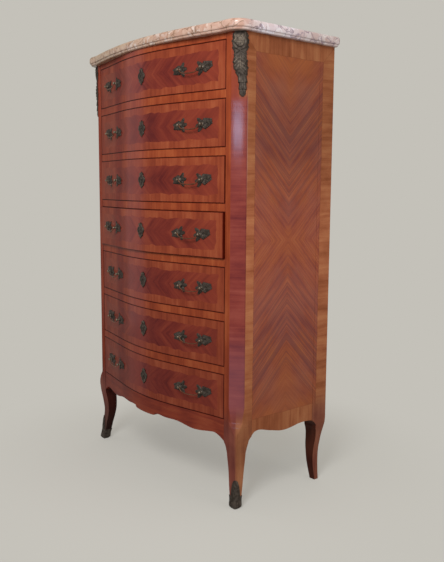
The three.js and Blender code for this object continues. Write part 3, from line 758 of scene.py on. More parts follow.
# Painted sheen: a lilac reflection low on the right-hand cant.
low_sheen_top = 0.38, 0.54
low_sheen_strength = 0.36
low_sheen_colour = paint(132, 86, 96)


def on_left(graph, x):
    return graph.step(x * -1, 0.0, mm)


def cant_strip(graph, x, z, aside):
    """1 on the strip that covers the cant."""
    climb = graph.node("Clamp", {}, {0: (z - strip_foot) / (strip_full - strip_foot)})
    spread = (climb ** 0.5) * (cant_long / 2)
    off_strip = abs(aside - arris_lap / 2) - arris_lap / 2
    strip = graph.step(spread - off_strip, 0.0, strip_blur)
    strip = strip * graph.step(z, strip_foot, strip_foot + mm) * graph.step(z, *strip_starts)
    return strip * (1 - on_left(graph, x) * (1 - graph.step(z, *left_strip_starts)))


def cant_colour(graph, x, z, aside):
    """Colour and pores of the strip, with a lilac painted sheen low down on the right."""
    cant, pores = veneer(graph, aside, z, 43.0, cant_tones, 0.4, 0.2)
    # Painted sheen low down on the right-hand cant.
    low_sheen = (1 - graph.step(z, *low_sheen_top)) * graph.step(x, 0.0, mm)
    return graph.mix(low_sheen * low_sheen_strength, cant, low_sheen_colour), pores


print("cant", round(cant_long / mm, 1), "mm wide")

# %% [markdown]
# ## Posts
# Below the strip the legs are plain, browner in front and paler at the side; that difference
# is partly painted shade and light. The front legs' hidden inner faces are dark, partly bare
# wood and partly painted shade, and the rear legs and the left front foot carry painted shade
# too. High up, the strip still has its full shine, and the arris behind it carries a painted
# highlight.

# %% Post finish
knee_low = 215 * mm
knee_high = 300 * mm
# The front's darker tones and the side's paler ones are partly painted shade and light.
leg_front_tones = paint(92, 44, 40), paint(116, 60, 50), paint(132, 74, 60)
leg_side_tones = paint(114, 62, 44), paint(138, 84, 56), paint(154, 100, 68)
leg_arris = 4 * mm
# Painted shade: the rear legs are duller, and the foot of the left front leg is dark.
rear_shade_tint = (0.8, 0.74, 0.95)
left_foot_shade = 0.02, 0.2
left_foot_shade_tint = (0.36, 0.68, 0.78)
shine_starts = 0.955, 1.05
shine_top = 1.118
shine_fade = 6 * mm
shine_gone = 1.14
strip_coat = 0.38
plain_coat = 0.6
strip_bare = 0.7
# Painted highlight along the cant's rear arris, high up.
arris_highlight_above = 0.8, 1.0
arris_highlight_strength = 0.3
arris_highlight_colour = paint(176, 152, 164)
# Painted shade on the posts' inward faces, with their darker bare wood.
inner_face = 0.02, 0.08
inner_shade_tint = (0.3, 0.22, 0.2)


def leg_colour(graph, x, y, z, aside):
    """The legs' veneer, with painted shade on the left foot and on the rear legs."""
    # Front and side tones differ partly as painted shade and light.
    front, _ = veneer(graph, z, aside, 47.0, leg_front_tones, 0.5, 0.3)
    side, _ = veneer(graph, z, aside, 49.0, leg_side_tones, 0.5, 0.3)
    leg = graph.mix(graph.step(aside, -leg_arris, leg_arris), front, side)
    # Painted shade on the rear legs and on the left front foot.
    leg = graph.tint(graph.step(y - case_middle_y, 0.0, mm), leg, rear_shade_tint)
    foot = (1 - graph.step(z, *left_foot_shade)) * on_left(graph, x)
    return graph.tint(foot, leg, left_foot_shade_tint)


def post_veneer():
    graph = Finish("post_veneer", polish)
    x, y, z = graph.place()
    aside = (abs(x) - cant_middle.x) * cant_along.x + (y - cant_middle.y) * cant_along.y
    strip = cant_strip(graph, x, z, aside)
    on_side = graph.step(aside, 0.0, mm)
    front, front_pores = veneer(graph, z, x, 41.0, band_tones, 0.3, 0.1)
    # Painted shade along the gap beside the drawers, and painted shade by place on the front.
    front = shaded_by_place(graph, gap_shaded(graph, front, abs(x) - opening_half), x, z)
    side, side_pores = side_colour(graph, y, z)
    cant, cant_pores = cant_colour(graph, x, z, aside)
    leg = leg_colour(graph, x, y, z, aside)
    upright = graph.mix(graph.step(z, knee_low, knee_high), leg, graph.mix(on_side, front, side))
    under_mount = graph.step(z, shine_top, shine_gone)
    colour = graph.mix(strip * (1 - under_mount * strip_bare), upright, cant)
    # A painted highlight along the rear arris of the cant.
    arris = graph.step(mm - abs(aside - arris_lap - cant_long / 2), 0.0, mm)
    arris_highlight = arris * graph.step(z, *arris_highlight_above) * (1 - under_mount)
    colour = graph.mix(arris_highlight * arris_highlight_strength, colour, arris_highlight_colour)
    # Painted shade on inward faces, with the darker bare wood there.
    facing_x, facing_y, _ = graph.facing()
    outward = facing_x * x + facing_y * (y - case_middle_y)
    inner = graph.step(outward * -1, *inner_face)
    colour = graph.tint(inner, colour, inner_shade_tint)
    below_mount = 1 - graph.step(z, shine_top, shine_top + shine_fade)
    shine = strip * graph.step(z, *shine_starts) * below_mount
    graph.set("Coat Weight", polish["Coat Weight"] * plain_coat + shine * strip_coat)
    pores = front_pores + (side_pores - front_pores) * on_side
    return veneered(graph, colour, pores + (cant_pores - pores) * strip)


post_finish = post_veneer()
print("made", post_finish.name)

# %% [markdown]
# ## Plain wood
# Inside, the chest is plain planed oak and pine without polish: paler, rougher, with straight
# grain. The boards differ only in the way that their grain runs.

# %% Carcase and drawer wood
carcase_tones = paint(112, 84, 56), paint(142, 110, 76), paint(162, 130, 92)
back_tones = paint(128, 92, 64), paint(142, 106, 76), paint(154, 118, 86)
drawer_tones = paint(150, 116, 76), paint(176, 142, 98), paint(194, 162, 118)
planed = {"Roughness": 0.72}
planed_depth = 0.12 * mm
planed_bump = 0.6
slant = 0.83
sideways = 0.6, 0.8


def plain_wood(name, grain, tones):
    """Boards with their grain along x or z, and along y wherever a face looks sideways."""
    graph = Finish(name, planed)
    spot = dict(zip("xyz", graph.place()))
    along = spot.pop(grain)
    first, second = spot.values()
    across = first + second * slant
    if grain == "x":
        aside = graph.step(abs(graph.facing()[0]), *sideways)
        along, across = along + (first - along) * aside, across + (second - across) * aside
    colour, pores = veneer(graph, along, across, 53.0, tones, 0.8, 0.2)
    graph.set("Base Color", colour)
    graph.bump(1 - pores, planed_depth, planed_bump)
    return graph.material


case_wood = plain_wood("carcase_wood", "x", carcase_tones)
back_wood = plain_wood("back_wood", "z", back_tones)
drawer_wood = plain_wood("drawer_wood", "x", drawer_tones)
print("made", case_wood.name, back_wood.name, drawer_wood.name)

# %% [markdown]
# ## Bronze
# The mounts are cast bronze that has gone dark with age. Hands and dusters keep the high
# places a little brighter, so every casting carries a height from 0 to 1 on its points, and
# the finish reads it.

# %% Bronze finish
bronze_metal = {"Metallic": 0.85}
bronze_cloud = 130.0
bronze_grit = 700.0
worn_by_cloud = 0.7
worn_by_grit = 0.5
worn_edge = 0.45, 1.15
bronze_patch = 0.36, 0.64
bronze_rough = 0.62
bronze_rough_range = 0.2
bronze_relief = 0.35 * mm


def dark_bronze(name, dark, middle, bright):
    graph = Finish(name, bronze_metal)
    height = graph.node("Attribute", {"attribute_name": "height"}, {}, output="Fac")
    spot = graph.node("TexCoord", output="Object")
    cloud = graph.noise(spot, scale=bronze_cloud, detail=4.0)
    grit = graph.noise(spot, scale=bronze_grit, detail=3.0)
    high = height + (cloud - 0.5) * worn_by_cloud + (grit - 0.5) * worn_by_grit
    worn = graph.step(high, *worn_edge)
    base = graph.mix(graph.step(cloud, *bronze_patch), dark, middle)
    graph.set("Base Color", graph.mix(worn, base, bright))
    rough = bronze_rough - worn * bronze_rough_range + (grit - 0.5) * bronze_rough_range
    graph.set("Roughness", rough)
    graph.bump(cloud * 0.5 + grit * 0.5, bronze_relief, 0.7)
    return graph.material


bronze_finish = dark_bronze("bronze", paint(56, 48, 42), paint(78, 69, 62), paint(120, 107, 91))
bail_finish = dark_bronze("bail_bronze", paint(78, 46, 34), paint(98, 60, 44), paint(124, 84, 62))
print("made", bronze_finish.name, bail_finish.name)

# %% [markdown]
# ## Iron
# The locks are iron with thin brown rust. Rust is rougher than clean iron, so one noise
# drives both the colour and the roughness.

# %% Iron finish
iron_clean = paint(96, 92, 88)
iron_rust = paint(92, 62, 44)
rust_edge = 0.45, 0.7
iron_rough = 0.45
rust_rough = 0.3


def dark_iron():
    graph = Finish("lock_iron", {"Metallic": 1.0})
    spot = graph.node("TexCoord", output="Object")
    rust = graph.noise(spot, scale=120.0, detail=5.0)
    spread = graph.step(rust, *rust_edge)
    graph.set("Base Color", graph.mix(spread, iron_clean, iron_rust))
    graph.set("Roughness", iron_rough + spread * rust_rough)
    graph.bump(rust, 0.15 * mm, 0.5)
    return graph.material


iron_finish = dark_iron()
print("made", iron_finish.name)

# %% [markdown]
# ## Marble
# The top is a broken, veined marble: pale pieces of several tints, held together by thin
# darker seams. Voronoi cells give the pieces, their edges give the seams, and a noise that
# bends the coordinates first keeps both from looking like a honeycomb. The stone is warmer
# on the left and cooler along its right-hand edge, where a painted reflection whitens it
# near the front.

# %% Marble finish
stone = {"IOR": 1.45, "Coat Weight": 0.2, "Coat Roughness": 0.1}
stone_bend = (0.06, 0.06, 0.06)
middle_grey = (0.5, 0.5, 0.5)
piece_scale = 72.0
seam_scale = 30.0
stone_left = paint(186, 158, 128)
stone_right = paint(202, 166, 148)
stone_side = paint(208, 192, 190)
# A painted reflection near the front right corner.
stone_reflection = paint(234, 226, 234)
stone_piece = paint(226, 200, 190)
stone_pale = paint(226, 216, 208)
stone_ochre = paint(150, 108, 66)
stone_brown = paint(146, 104, 84)
seam_front = paint(134, 96, 72)
seam_side = paint(138, 116, 130)


def marble_ground(graph, x, y, to_right, on_side):
    """The stone's tint by its place on the slab, with a painted reflection near the front right
    corner.
    """
    ground = graph.mix(to_right, stone_left, stone_right)
    ground = graph.mix(on_side, ground, stone_side)
    # Painted reflection near the front of the right-hand edge.
    corner = on_side * (1 - graph.step(y, face_y + 0.13, face_y + 0.27))
    return graph.mix(corner * 0.8, ground, stone_reflection)


def veined_marble():
    graph = Finish("marble", stone)
    spot = graph.node("TexCoord", output="Object")
    x, y, _ = graph.place()
    bend = graph.node("TexNoise", {}, {"Vector": spot, "Scale": 22.0, "Detail": 5.0}, output=1)
    bent = spot + (bend - middle_grey) * stone_bend
    by_piece = {"Vector": bent, "Scale": piece_scale}
    pieces = graph.node("TexVoronoi", {}, by_piece, output="Color")
    pick = graph.node("SeparateColor", {}, {0: pieces}, output=0)
    warm = graph.node("SeparateColor", {}, {0: pieces}, output=1)
    by_edge = {"feature": "DISTANCE_TO_EDGE"}
    seams = graph.node("TexVoronoi", by_edge, {"Vector": bent, "Scale": seam_scale})
    cloud = graph.noise(spot, scale=11.0, detail=6.0, roughness=0.6)
    fleck = graph.noise(spot, scale=60.0, detail=5.0, roughness=0.65)
    to_right = graph.step(x, -0.3, 0.34)
    on_side = graph.step(y, face_y - 0.01, face_y + 0.08) * to_right
    ground = marble_ground(graph, x, y, to_right, on_side)
    ground = graph.tint(graph.step(pick, 0.1, 0.9) * 0.6, ground, stone_piece)
    pale = graph.step(warm, 0.5, 0.9) * graph.step(cloud, 0.4, 0.6)
    ground = graph.mix(pale * 0.55, ground, stone_pale)
    ochre = graph.step(fleck * 0.6 + cloud * 0.4, 0.5, 0.6) * (1 - to_right * 0.8)
    ground = graph.mix(ochre * 0.6, ground, stone_ochre)
    brown = graph.step(cloud * 0.5 + fleck * 0.5, 0.57, 0.63)
    ground = graph.mix(brown * 0.5, ground, stone_brown)
    seam = graph.step(0.07 - seams, 0.0, 0.05) * graph.step(fleck, 0.4, 0.54)
    seam_colour = graph.mix(on_side, seam_front, seam_side)
    graph.set("Base Color", graph.mix(seam * 0.85, ground, seam_colour))
    graph.set("Roughness", 0.3 + fleck * 0.14)
    graph.bump(fleck, 0.12 * mm, 0.4)
    return graph.material


marble_finish = veined_marble()
print("made", marble_finish.name)

# %% [markdown]
# ## Meshes from rings of points
# Nearly every piece here can be lofted: a ring of points is drawn at one end, redrawn along
# the piece, and neighbouring rings are joined by faces. The class below gathers such bodies
# for one object. It also keeps the casting heights that the bronze finish reads. Blender
# turns every face outwards at the end, so a ring may be drawn either way round.

# %% Gather points and faces, then make one object
class Body:
    """Points, faces and casting heights for one mesh."""

    def __init__(self):
        self.points = []
        self.faces = []
        self.heights = []

    def add(self, points, faces, heights=None):
        start = len(self.points)
        self.points += [tuple(p) for p in points]
        self.faces += [tuple(start + i for i in face) for face in faces]
        self.heights += list(heights) if heights else [0.0] * len(points)

    def rings(self, rings, heights=None):
        count = len(rings[0])
        points = [p for ring in rings for p in ring]
        faces = []
        for level in range(len(rings) - 1):
            low = level * count
            for i in range(count):
                j = (i + 1) % count
                faces.append((low + i, low + j, low + count + j, low + count + i))
        faces.append(tuple(range(count)))
        faces.append(tuple(range(len(points) - count, len(points))))
        flat = [h for ring in heights for h in ring] if heights else None
        self.add(points, faces, flat)

    def block(self, low, high, ease):
        """A board with eased edges between two corners."""
        rings = []
        for z, inset in ((low[2], ease), (low[2] + ease, 0), (high[2] - ease, 0), (high[2], ease)):
            x0, y0, x1, y1 = low[0] + inset, low[1] + inset, high[0] - inset, high[1] - inset
            cut = min(ease, (x1 - x0) / 4, (y1 - y0) / 4)
            ring = [
                (x0 + cut, y0), (x1 - cut, y0), (x1, y0 + cut), (x1, y1 - cut),
                (x1 - cut, y1), (x0 + cut, y1), (x0, y1 - cut), (x0, y0 + cut),
            ]
            rings.append([(x, y, z) for x, y in ring])
        self.rings(rings)

    def placed(self, matrix):
        """A copy of the body, moved by a matrix."""
        other = Body()
        other.points = [tuple(matrix @ Vector(p)) for p in self.points]
        other.faces = list(self.faces)
        other.heights = list(self.heights)
        return other

    def made(self, name, finish, sharp=15):
        """The object; edges that turn by more than the sharp angle, in degrees, stay crisp."""
        mesh = bpy.data.meshes.new(name)
        mesh.from_pydata(self.points, [], self.faces)
        work = bmesh.new()
        work.from_mesh(mesh)
        bmesh.ops.recalc_face_normals(work, faces=work.faces)
        work.to_mesh(mesh)
        work.free()
        height = mesh.attributes.new("height", "FLOAT", "POINT")
        height.data.foreach_set("value", self.heights)
        mesh.polygons.foreach_set("use_smooth", [True] * len(mesh.polygons))
        mesh.set_sharp_from_angle(angle=math.radians(sharp))
        mesh.materials.append(finish)
        piece = bpy.data.objects.new(name, mesh)
        bpy.context.scene.collection.objects.link(piece)
        return piece


trial = Body()
trial.block((0, 0, 0), (1, 1, 1), 0.1)
print("an eased block has", len(trial.points), "points and", len(trial.faces), "faces")

# %% [markdown]
# ## Handing a piece over
# A finished piece rides on one of the chest's bodies, so that it moves with it. It may stand
# for nodes of the packed model, which then hide. Left-hand pieces are mostly mirrored copies
# of right-hand ones.

# %% Hand a piece over, and mirror one
mirror = Matrix.Diagonal((-1, 1, 1, 1))


def settle(piece, body, slot, *nodes):
    """Lets a finished piece ride on its body and stand for its nodes."""
    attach(piece, body)
    if nodes:
        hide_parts(*nodes)


def pair(build, name, finish, slot, node, sharp=10):
    """A right-hand piece and its mirrored twin."""
    body = build()
    right_piece = body.made(name + "_right", finish, sharp)
    left_piece = body.placed(mirror).made(name + "_left", finish, sharp)
    settle(right_piece, "case", slot, node + "_right")
    settle(left_piece, "case", slot, node + "_left")


# %% [markdown]
# ## Smooth lines
# The edge of an apron is drawn through a few chosen points. The line leaves each point in
# the direction from the one before it to the one after it, which keeps it smooth.

# %% Curves through chosen points
def curve_through(points, steps):
    """A smooth line through points, evenly spread between each pair."""
    points = [Vector(p) for p in points]
    first = points[0] * 2 - points[1]
    last = points[-1] * 2 - points[-2]
    padded = [first, *points, last]
    line = []
    for a, b, c, d in zip(padded, padded[1:], padded[2:], padded[3:]):
        for i in range(steps):
            t = i / steps
            leaving = (c - a) * 0.5
            arriving = (d - b) * 0.5
            line.append(
                b * (2 * t**3 - 3 * t**2 + 1) + leaving * (t**3 - 2 * t**2 + t)
                + c * (3 * t**2 - 2 * t**3) + arriving * (t**3 - t**2)
            )
    line.append(points[-1])
    return line


print("three points, four steps:", len(curve_through([(0, 0), (1, 1), (2, 0)], 4)), "places")

# %% [markdown]
# A leg is given as a table of a few heights, and read between its rows. The slope at a row
# is the harmonic mean of the slopes on both sides, and nothing where they turn round. So a
# straight stretch stays straight, and no curve overshoots.

# %% Read a table between its rows
def table_at(rows, at):
    """The columns of a table at one place, eased between its rows without overshoot."""
    rows = sorted(rows)
    if at <= rows[0][0]:
        return rows[0][1:]
    if at >= rows[-1][0]:
        return rows[-1][1:]
    k = next(i for i in range(len(rows) - 1) if rows[i][0] <= at <= rows[i + 1][0])
    span = rows[k + 1][0] - rows[k][0]
    t = (at - rows[k][0]) / span
    values = []
    for column in range(1, len(rows[0])):
        def slope(i):
            return (rows[i + 1][column] - rows[i][column]) / (rows[i + 1][0] - rows[i][0])

        def tangent(i):
            if i == 0 or i == len(rows) - 1:
                return 0.0
            before, after = slope(i - 1), slope(i)
            if before * after <= 0:
                return 0.0
            return 2 * before * after / (before + after)

        a, b = rows[k][column], rows[k + 1][column]
        values.append(
            a * (2 * t**3 - 3 * t**2 + 1) + tangent(k) * span * (t**3 - 2 * t**2 + t)
            + b * (3 * t**2 - 2 * t**3) + tangent(k + 1) * span * (t**3 - t**2)
        )
    return values


print("halfway between 0 and 1:", table_at([(0, 0), (1, 1)], 0.5))

# %% [markdown]
# No edge of real furniture is razor sharp. Rounding a corner gives every ring the same
# number of points, so that rings can always be joined.

# %% Round the corners of a ring
ease_points = 3
ease_share = 0.45
tiny = 1e-9


def eased_ring(corners, radius):
    """A polygon whose corners are rounded, always with the same number of points."""
    ring = []
    for i, corner in enumerate(corners):
        before = corners[i - 1] - corner
        after = corners[(i + 1) % len(corners)] - corner
        start = corner + before * min(ease_share, radius / max(before.length, tiny))
        end = corner + after * min(ease_share, radius / max(after.length, tiny))
        for k in range(ease_points + 1):
            t = k / ease_points
            ring.append(start * (1 - t) ** 2 + corner * (2 * t * (1 - t)) + end * t**2)
    return ring


square = [Vector(p) for p in ((0, 0), (1, 0), (1, 1), (0, 1))]
print("an eased square has", len(eased_ring(square, 0.1)), "points")

# %% [markdown]
# ## Marble slab
# The slab overhangs the case all round. Its plan is the bow, two rounded front corners, a
# straight side and a tight back corner. The plan is drawn in by a few millimetres at the
# bottom and the top, which gives the edge its rounds.

# %% Marble top
marble_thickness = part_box("marble_top")[1].z - case_top
marble_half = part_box("marble_top")[1].x
marble_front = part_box("marble_top")[0].y
marble_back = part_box("marble_top")[1].y
marble_bow = 42 * mm
marble_corner = 46 * mm
marble_back_corner = 12 * mm
marble_front_points = 90
marble_corner_points = 14

# how far the edge stands in, and how high, in millimetres, from the underside to the nose
marble_edge = [
    (11, 0), (9, 0), (6.8, 0.8), (5.2, 2.4), (4.4, 4.6), (4.2, 6.4), (1.9, 6.9), (0.9, 8.2),
    (0.25, 10.2), (0, 12.6), (0, 19),
]
marble_round = 9
marble_round_points = 8
marble_flat_inset = 10.5


def quarter(centre, radius, start):
    points = []
    for i in range(marble_corner_points + 1):
        angle = math.radians(90 * (start + i / marble_corner_points))
        points.append(centre + Vector((math.cos(angle), math.sin(angle))) * radius)
    return points


def marble_plan(inset):
    front = []
    for i in range(marble_front_points + 1):
        x = opening_half * (2 * i / marble_front_points - 1)
        y = marble_front + marble_bow * (1 - bow_share(x, marble_round_share)) + inset
        front.append(Vector((x, y)))
    near = Vector((marble_half - marble_corner, marble_front + marble_bow + marble_corner))
    far = Vector((marble_half - marble_back_corner, marble_back - marble_back_corner))
    side = quarter(near, marble_corner - inset, -1) + quarter(far, marble_back_corner - inset, 0)
    return front + side + [Vector((-p.x, p.y)) for p in reversed(side)]


def marble_slab():
    profile = list(marble_edge)
    for i in range(1, marble_round_points + 1):
        angle = math.radians(90 * i / marble_round_points)
        rise = marble_thickness / mm - marble_round * (1 - math.sin(angle))
        profile.append((marble_round * (1 - math.cos(angle)), rise))
    profile.append((marble_flat_inset, marble_thickness / mm))
    body = Body()
    body.rings([
        [(p.x, p.y, case_top + rise * mm) for p in marble_plan(inset * mm)]
        for inset, rise in profile
    ])
    return body


settle(marble_slab().made("marble_slab", marble_finish), "case", "marble", "marble_top")
print("marble slab", round(2 * marble_half / mm), "mm wide")

# %% [markdown]
# ## Bowed boards
# A drawer front, a rail and the apron are the same thing: a board that follows the bow and
# has an outline of its own below and above. The board is lofted sideways, station by
# station. Each station is a small upright section with eased front corners.

# %% A board along a line
front_stations = 96
board_ease = 0.7 * mm
chamfer_share = 0.3


def board(stations, place, ease=board_ease):
    """A board through stations of (along, front, back, low, high)."""
    body = Body()
    rings = []
    for number, (along, front, back, low, high) in enumerate(stations):
        end = number in (0, len(stations) - 1)
        cut = ease * chamfer_share
        nose = front + ease if end else front
        section = [
            (back, low), (nose + ease, low), (nose + cut, low + cut), (nose, low + ease),
            (nose, high - ease), (nose + cut, high - cut), (nose + ease, high), (back, high),
        ]
        rings.append([place(along, depth, z) for depth, z in section])
    body.rings(rings)
    return body


def across_front(half):
    """Places across the front, with one more close to each end for its eased edge."""
    inner = half - board_ease
    places = [inner * (2 * i / front_stations - 1) for i in range(front_stations + 1)]
    return [-half, *places, half]


def as_front(x, y, z):
    return (x, y, z)


print("places across a drawer front:", len(across_front(drawer_half)))

# %% [markdown]
# ## Drawer fronts
# Seven fronts, each on its own body, so that each can slide. They differ only in height and
# in how far they were pushed home.

# %% Drawer fronts
front_thickness = 20 * mm


def drawer_front(number):
    base = drawer_base(number)
    out = drawer_proud(number)
    low = base + drawer_reveal
    high = low + drawer_height
    stations = [
        (x, front_y(x) - out, front_y(x) + front_thickness - out, low, high)
        for x in across_front(drawer_half)
    ]
    return board(stations, as_front)


for number in drawer_numbers:
    piece = drawer_front(number).made(f"drawer_board_{number}", drawer_finish)
    settle(piece, f"drawer_{number}", "drawer_veneer", f"drawer_front_{number}")
print("drawer fronts", len(drawer_numbers))

# %% [markdown]
# ## Rails between the drawers
# The front edge of each shelf shows as a rail. Behind it lie the parts that carry the
# drawers: runners under their sides, guides beside them, a thin dust board, and two stops.

# %% Rails, runners and dust boards
rail_depth = 45 * mm
dust_top = 7 * mm
dust_thickness = 8 * mm
runner_width = 44 * mm
bearer_depth = 30 * mm
guide_rise = 12 * mm
panel_thickness = 18 * mm
back_thickness = 10 * mm
back_inner = case_back - back_thickness
stop_half = 20 * mm
stop_depth = 12 * mm
stop_rise = 5 * mm
rail_ease = 0.4 * mm
wood_ease = 0.6 * mm


def shelf_parts(body, top):
    """The boards behind a rail whose upper face lies at the height top."""
    inner = opening_half - runner_width
    rear = back_inner - bearer_depth
    side_front = face_y + post_depth
    side_back = case_back - post_depth
    low = top - divider_height
    body.block((-inner, face_y + rail_depth, top - dust_top - dust_thickness),
               (inner, rear, top - dust_top), wood_ease)
    body.block((-inner, rear, low), (inner, back_inner - fit_gap, top), wood_ease)
    for side in (-1, 1):
        near, far = sorted((side * inner, side * (opening_half - fit_gap)))
        body.block((near, face_y + rail_depth, low), (far, back_inner - fit_gap, top), wood_ease)
        near, far = sorted((side * opening_half, side * (case_half - panel_thickness - fit_gap)))
        body.block((near, side_front + fit_gap, low + divider_height / 2),
                   (far, side_back - fit_gap, top + guide_rise), wood_ease)
        middle = side * drawer_half / 2
        stop = front_y(drawer_half / 2 + stop_half) + front_thickness + fit_gap
        body.block((middle - stop_half, stop, top - dust_top),
                   (middle + stop_half, stop + stop_depth, top + stop_rise), wood_ease)


for number in drawer_numbers[:-1]:
    top = drawer_base(number)
    stations = [
        (x, front_y(x), face_y + rail_depth, top - divider_height, top)
        for x in across_front(opening_half)
    ]
    rail = board(stations, as_front, rail_ease).made(f"rail_{number}", rail_finish)
    settle(rail, "case", "rail_veneer", f"drawer_divider_{number}")
    shelf = Body()
    shelf_parts(shelf, top)
    settle(shelf.made(f"shelf_{number}", case_wood), "case", "carcase_wood")

stations = [
    (x, front_y(x), face_y + rail_depth, top_rail_low.z, case_top)
    for x in across_front(opening_half)
]
top_board_rail = board(stations, as_front, rail_ease).made("top_rail_board", rail_finish)
settle(top_board_rail, "case", "rail_veneer", "top_rail")
print("rails between drawers:", len(drawer_numbers) - 1)

# %% [markdown]
# ## Apron
# The apron closes the front below the last drawer. Its lower edge is a lobe in the middle,
# a cusp on each side of it, and a long double curve out to the legs. The line is drawn once
# for the right half, through a few points, and then mirrored.

# %% Apron
leg_height = 193 * mm
apron_height = 60 * mm
apron_thickness = 20 * mm
shaped_ease = 0.9 * mm
apron_lobe_shares = [(0, 0.13), (0.09, 0.14), (0.15, 0.17), (0.17, 0.28)]
apron_wing_shares = [
    (0.17, 0.28), (0.23, 0.285), (0.31, 0.25), (0.43, 0.265), (0.5, 0.235), (0.56, 0.17),
    (0.64, 0.1), (0.73, 0.115), (0.84, 0.2), (0.9, 0.215), (0.96, 0.08), (1, -0.067),
]


def apron_line(shares):
    points = [(x * opening_half, leg_height + rise * apron_height) for x, rise in shares]
    return curve_through(points, 6)


def apron_edge():
    """The lower edge from left to right; lobe and wing meet in a sharp cusp."""
    lobe = apron_line(apron_lobe_shares)
    wing = apron_line(apron_wing_shares)
    right_half = lobe + wing[1:]
    return [Vector((-p.x, p.y)) for p in reversed(right_half[1:])] + right_half


stations = [
    (p.x, front_y(p.x), front_y(p.x) + apron_thickness, p.y, opening_base) for p in apron_edge()
]
apron = board(stations, as_front, shaped_ease).made("apron", apron_finish)
settle(apron, "case", "rail_veneer", "front_apron")
print("apron points", len(stations))

# %% [markdown]
# ## Side panels
# Each side is one veneered board between the posts, with a shallow double curve below. It
# reaches the posts exactly, so that the veneer reads as one sheet with its bands.

# %% Side panels
side_edge_shares = [
    (0, 0.233), (0.03, 0.34), (0.065, 0.39), (0.11, 0.4), (0.165, 0.36), (0.25, 0.26),
    (0.35, 0.16), (0.44, 0.075), (0.54, 0.045), (0.65, 0.085), (0.75, 0.15), (0.83, 0.17),
    (0.9, 0.165), (0.96, 0.13), (1, 0.09),
]


def side_panel():
    front = face_y + post_depth
    back = case_back - post_depth
    points = [
        (front + (back - front) * share, leg_height + rise * apron_height)
        for share, rise in side_edge_shares
    ]
    edge = curve_through(points, 5)
    stations = [(p.x, 0, panel_thickness, p.y, case_top) for p in edge]
    return board(stations, lambda y, depth, z: (case_half - depth, y, z), shaped_ease)


pair(side_panel, "side_board", side_finish, "side_veneer", "side_panel")
print("side panels", round(panel_thickness / mm), "mm thick")

# %% [markdown]
# ## Posts and legs
# A post and its leg are one long stick. From the rails up it is square with one canted
# corner. Below, its outer corner swings out into a knee and back in to the ankle, while the
# inner corner is cut away. A table gives these moves at a few heights, and is read between
# them. A height below 1 is a share of the leg, and above 1 it counts in apron heights.

# %% Tables of the legs
knee_side = 39 * mm
knee_swell = 12 * mm
rear_sweep = 25 * mm
rear_ease = 3 * mm

# at, shoulder across, shoulder back, side, arris, cant, inner round
front_leg_shares = [
    (2, 1, 1, 1, 0, 1, 0.1), (1.68, 1, 1, 1, 0.6, 0.62, 0.1), (1.36, 1, 1, 1, 1, 0.2, 0.1),
    (1.23, 1, 1, 1, 1.04, 0.14, 0.1), (1.08, 1, 0.67, 1, 1, 0.12, 0.4),
    (0.98, 1, 0.45, 1, 0.9, 0.11, 0.6), (0.93, 0.54, 0.3, 1, 0.8, 0.11, 0.8),
    (0.87, 0.19, 0.12, 1, 0.6, 0.11, 1), (0.79, 0, 0, 0.97, 0.34, 0.1, 1),
    (0.67, 0, 0, 0.9, 0, 0.1, 1), (0.56, 0, 0, 0.82, -0.2, 0.1, 1),
    (0.44, 0, 0, 0.76, -0.05, 0.1, 1), (0.31, 0, 0, 0.7, 0.3, 0.1, 0.9),
    (0.22, 0, 0, 0.65, 0.42, 0.1, 0.8), (0, 0, 0, 0.52, 0.8, 0.1, 0.6),
]
rear_leg_shares = [
    (2, 1, 1, 1, 0, 1, 0.1), (1.33, 1, 1, 1, 0, 1, 0.2), (1.09, 1, 1, 1, 0, 1, 0.4),
    (1, 1, 0.62, 1, -0.02, 1, 0.6), (0.96, 1, 0.28, 1, -0.04, 1, 0.8),
    (0.907, 1, 0, 1, -0.13, 1, 1), (0.829, 1, 0, 0.82, -0.29, 1, 1),
    (0.725, 1, 0, 0.67, -0.49, 1, 1), (0.622, 0.97, 0, 0.63, -0.63, 1, 1),
    (0.518, 0.8, 0, 0.63, -0.75, 1, 1), (0.415, 0.52, 0, 0.64, -0.8, 1, 1),
    (0.311, 0.38, 0, 0.62, -0.81, 1, 1), (0.207, 0.3, 0, 0.57, -0.79, 1, 0.9),
    (0.104, 0.25, 0, 0.51, -0.76, 1, 0.8), (0, 0.16, 0, 0.47, -0.72, 1, 0.6),
]
front_corner = {
    "width": cant_width, "depth": cant_depth, "swing": knee_swell, "side": knee_side, "flush": 1,
}
rear_corner = {
    "width": rear_ease, "depth": rear_ease, "swing": rear_sweep, "side": knee_side, "flush": 0,
}


def level_share(z):
    if z <= leg_height:
        return z / leg_height
    return 1 + (z - leg_height) / apron_height


print("rows in the legs' tables:", len(front_leg_shares), "and", len(rear_leg_shares))

# %% [markdown]
# One level of a post is an outline of seven corners: the front face, the cant, the side and
# the rounded inner corner. The knee pushes the cant out diagonally, as far sideways as
# forwards.

# %% One level of a post
inner_round = 2.5 * mm


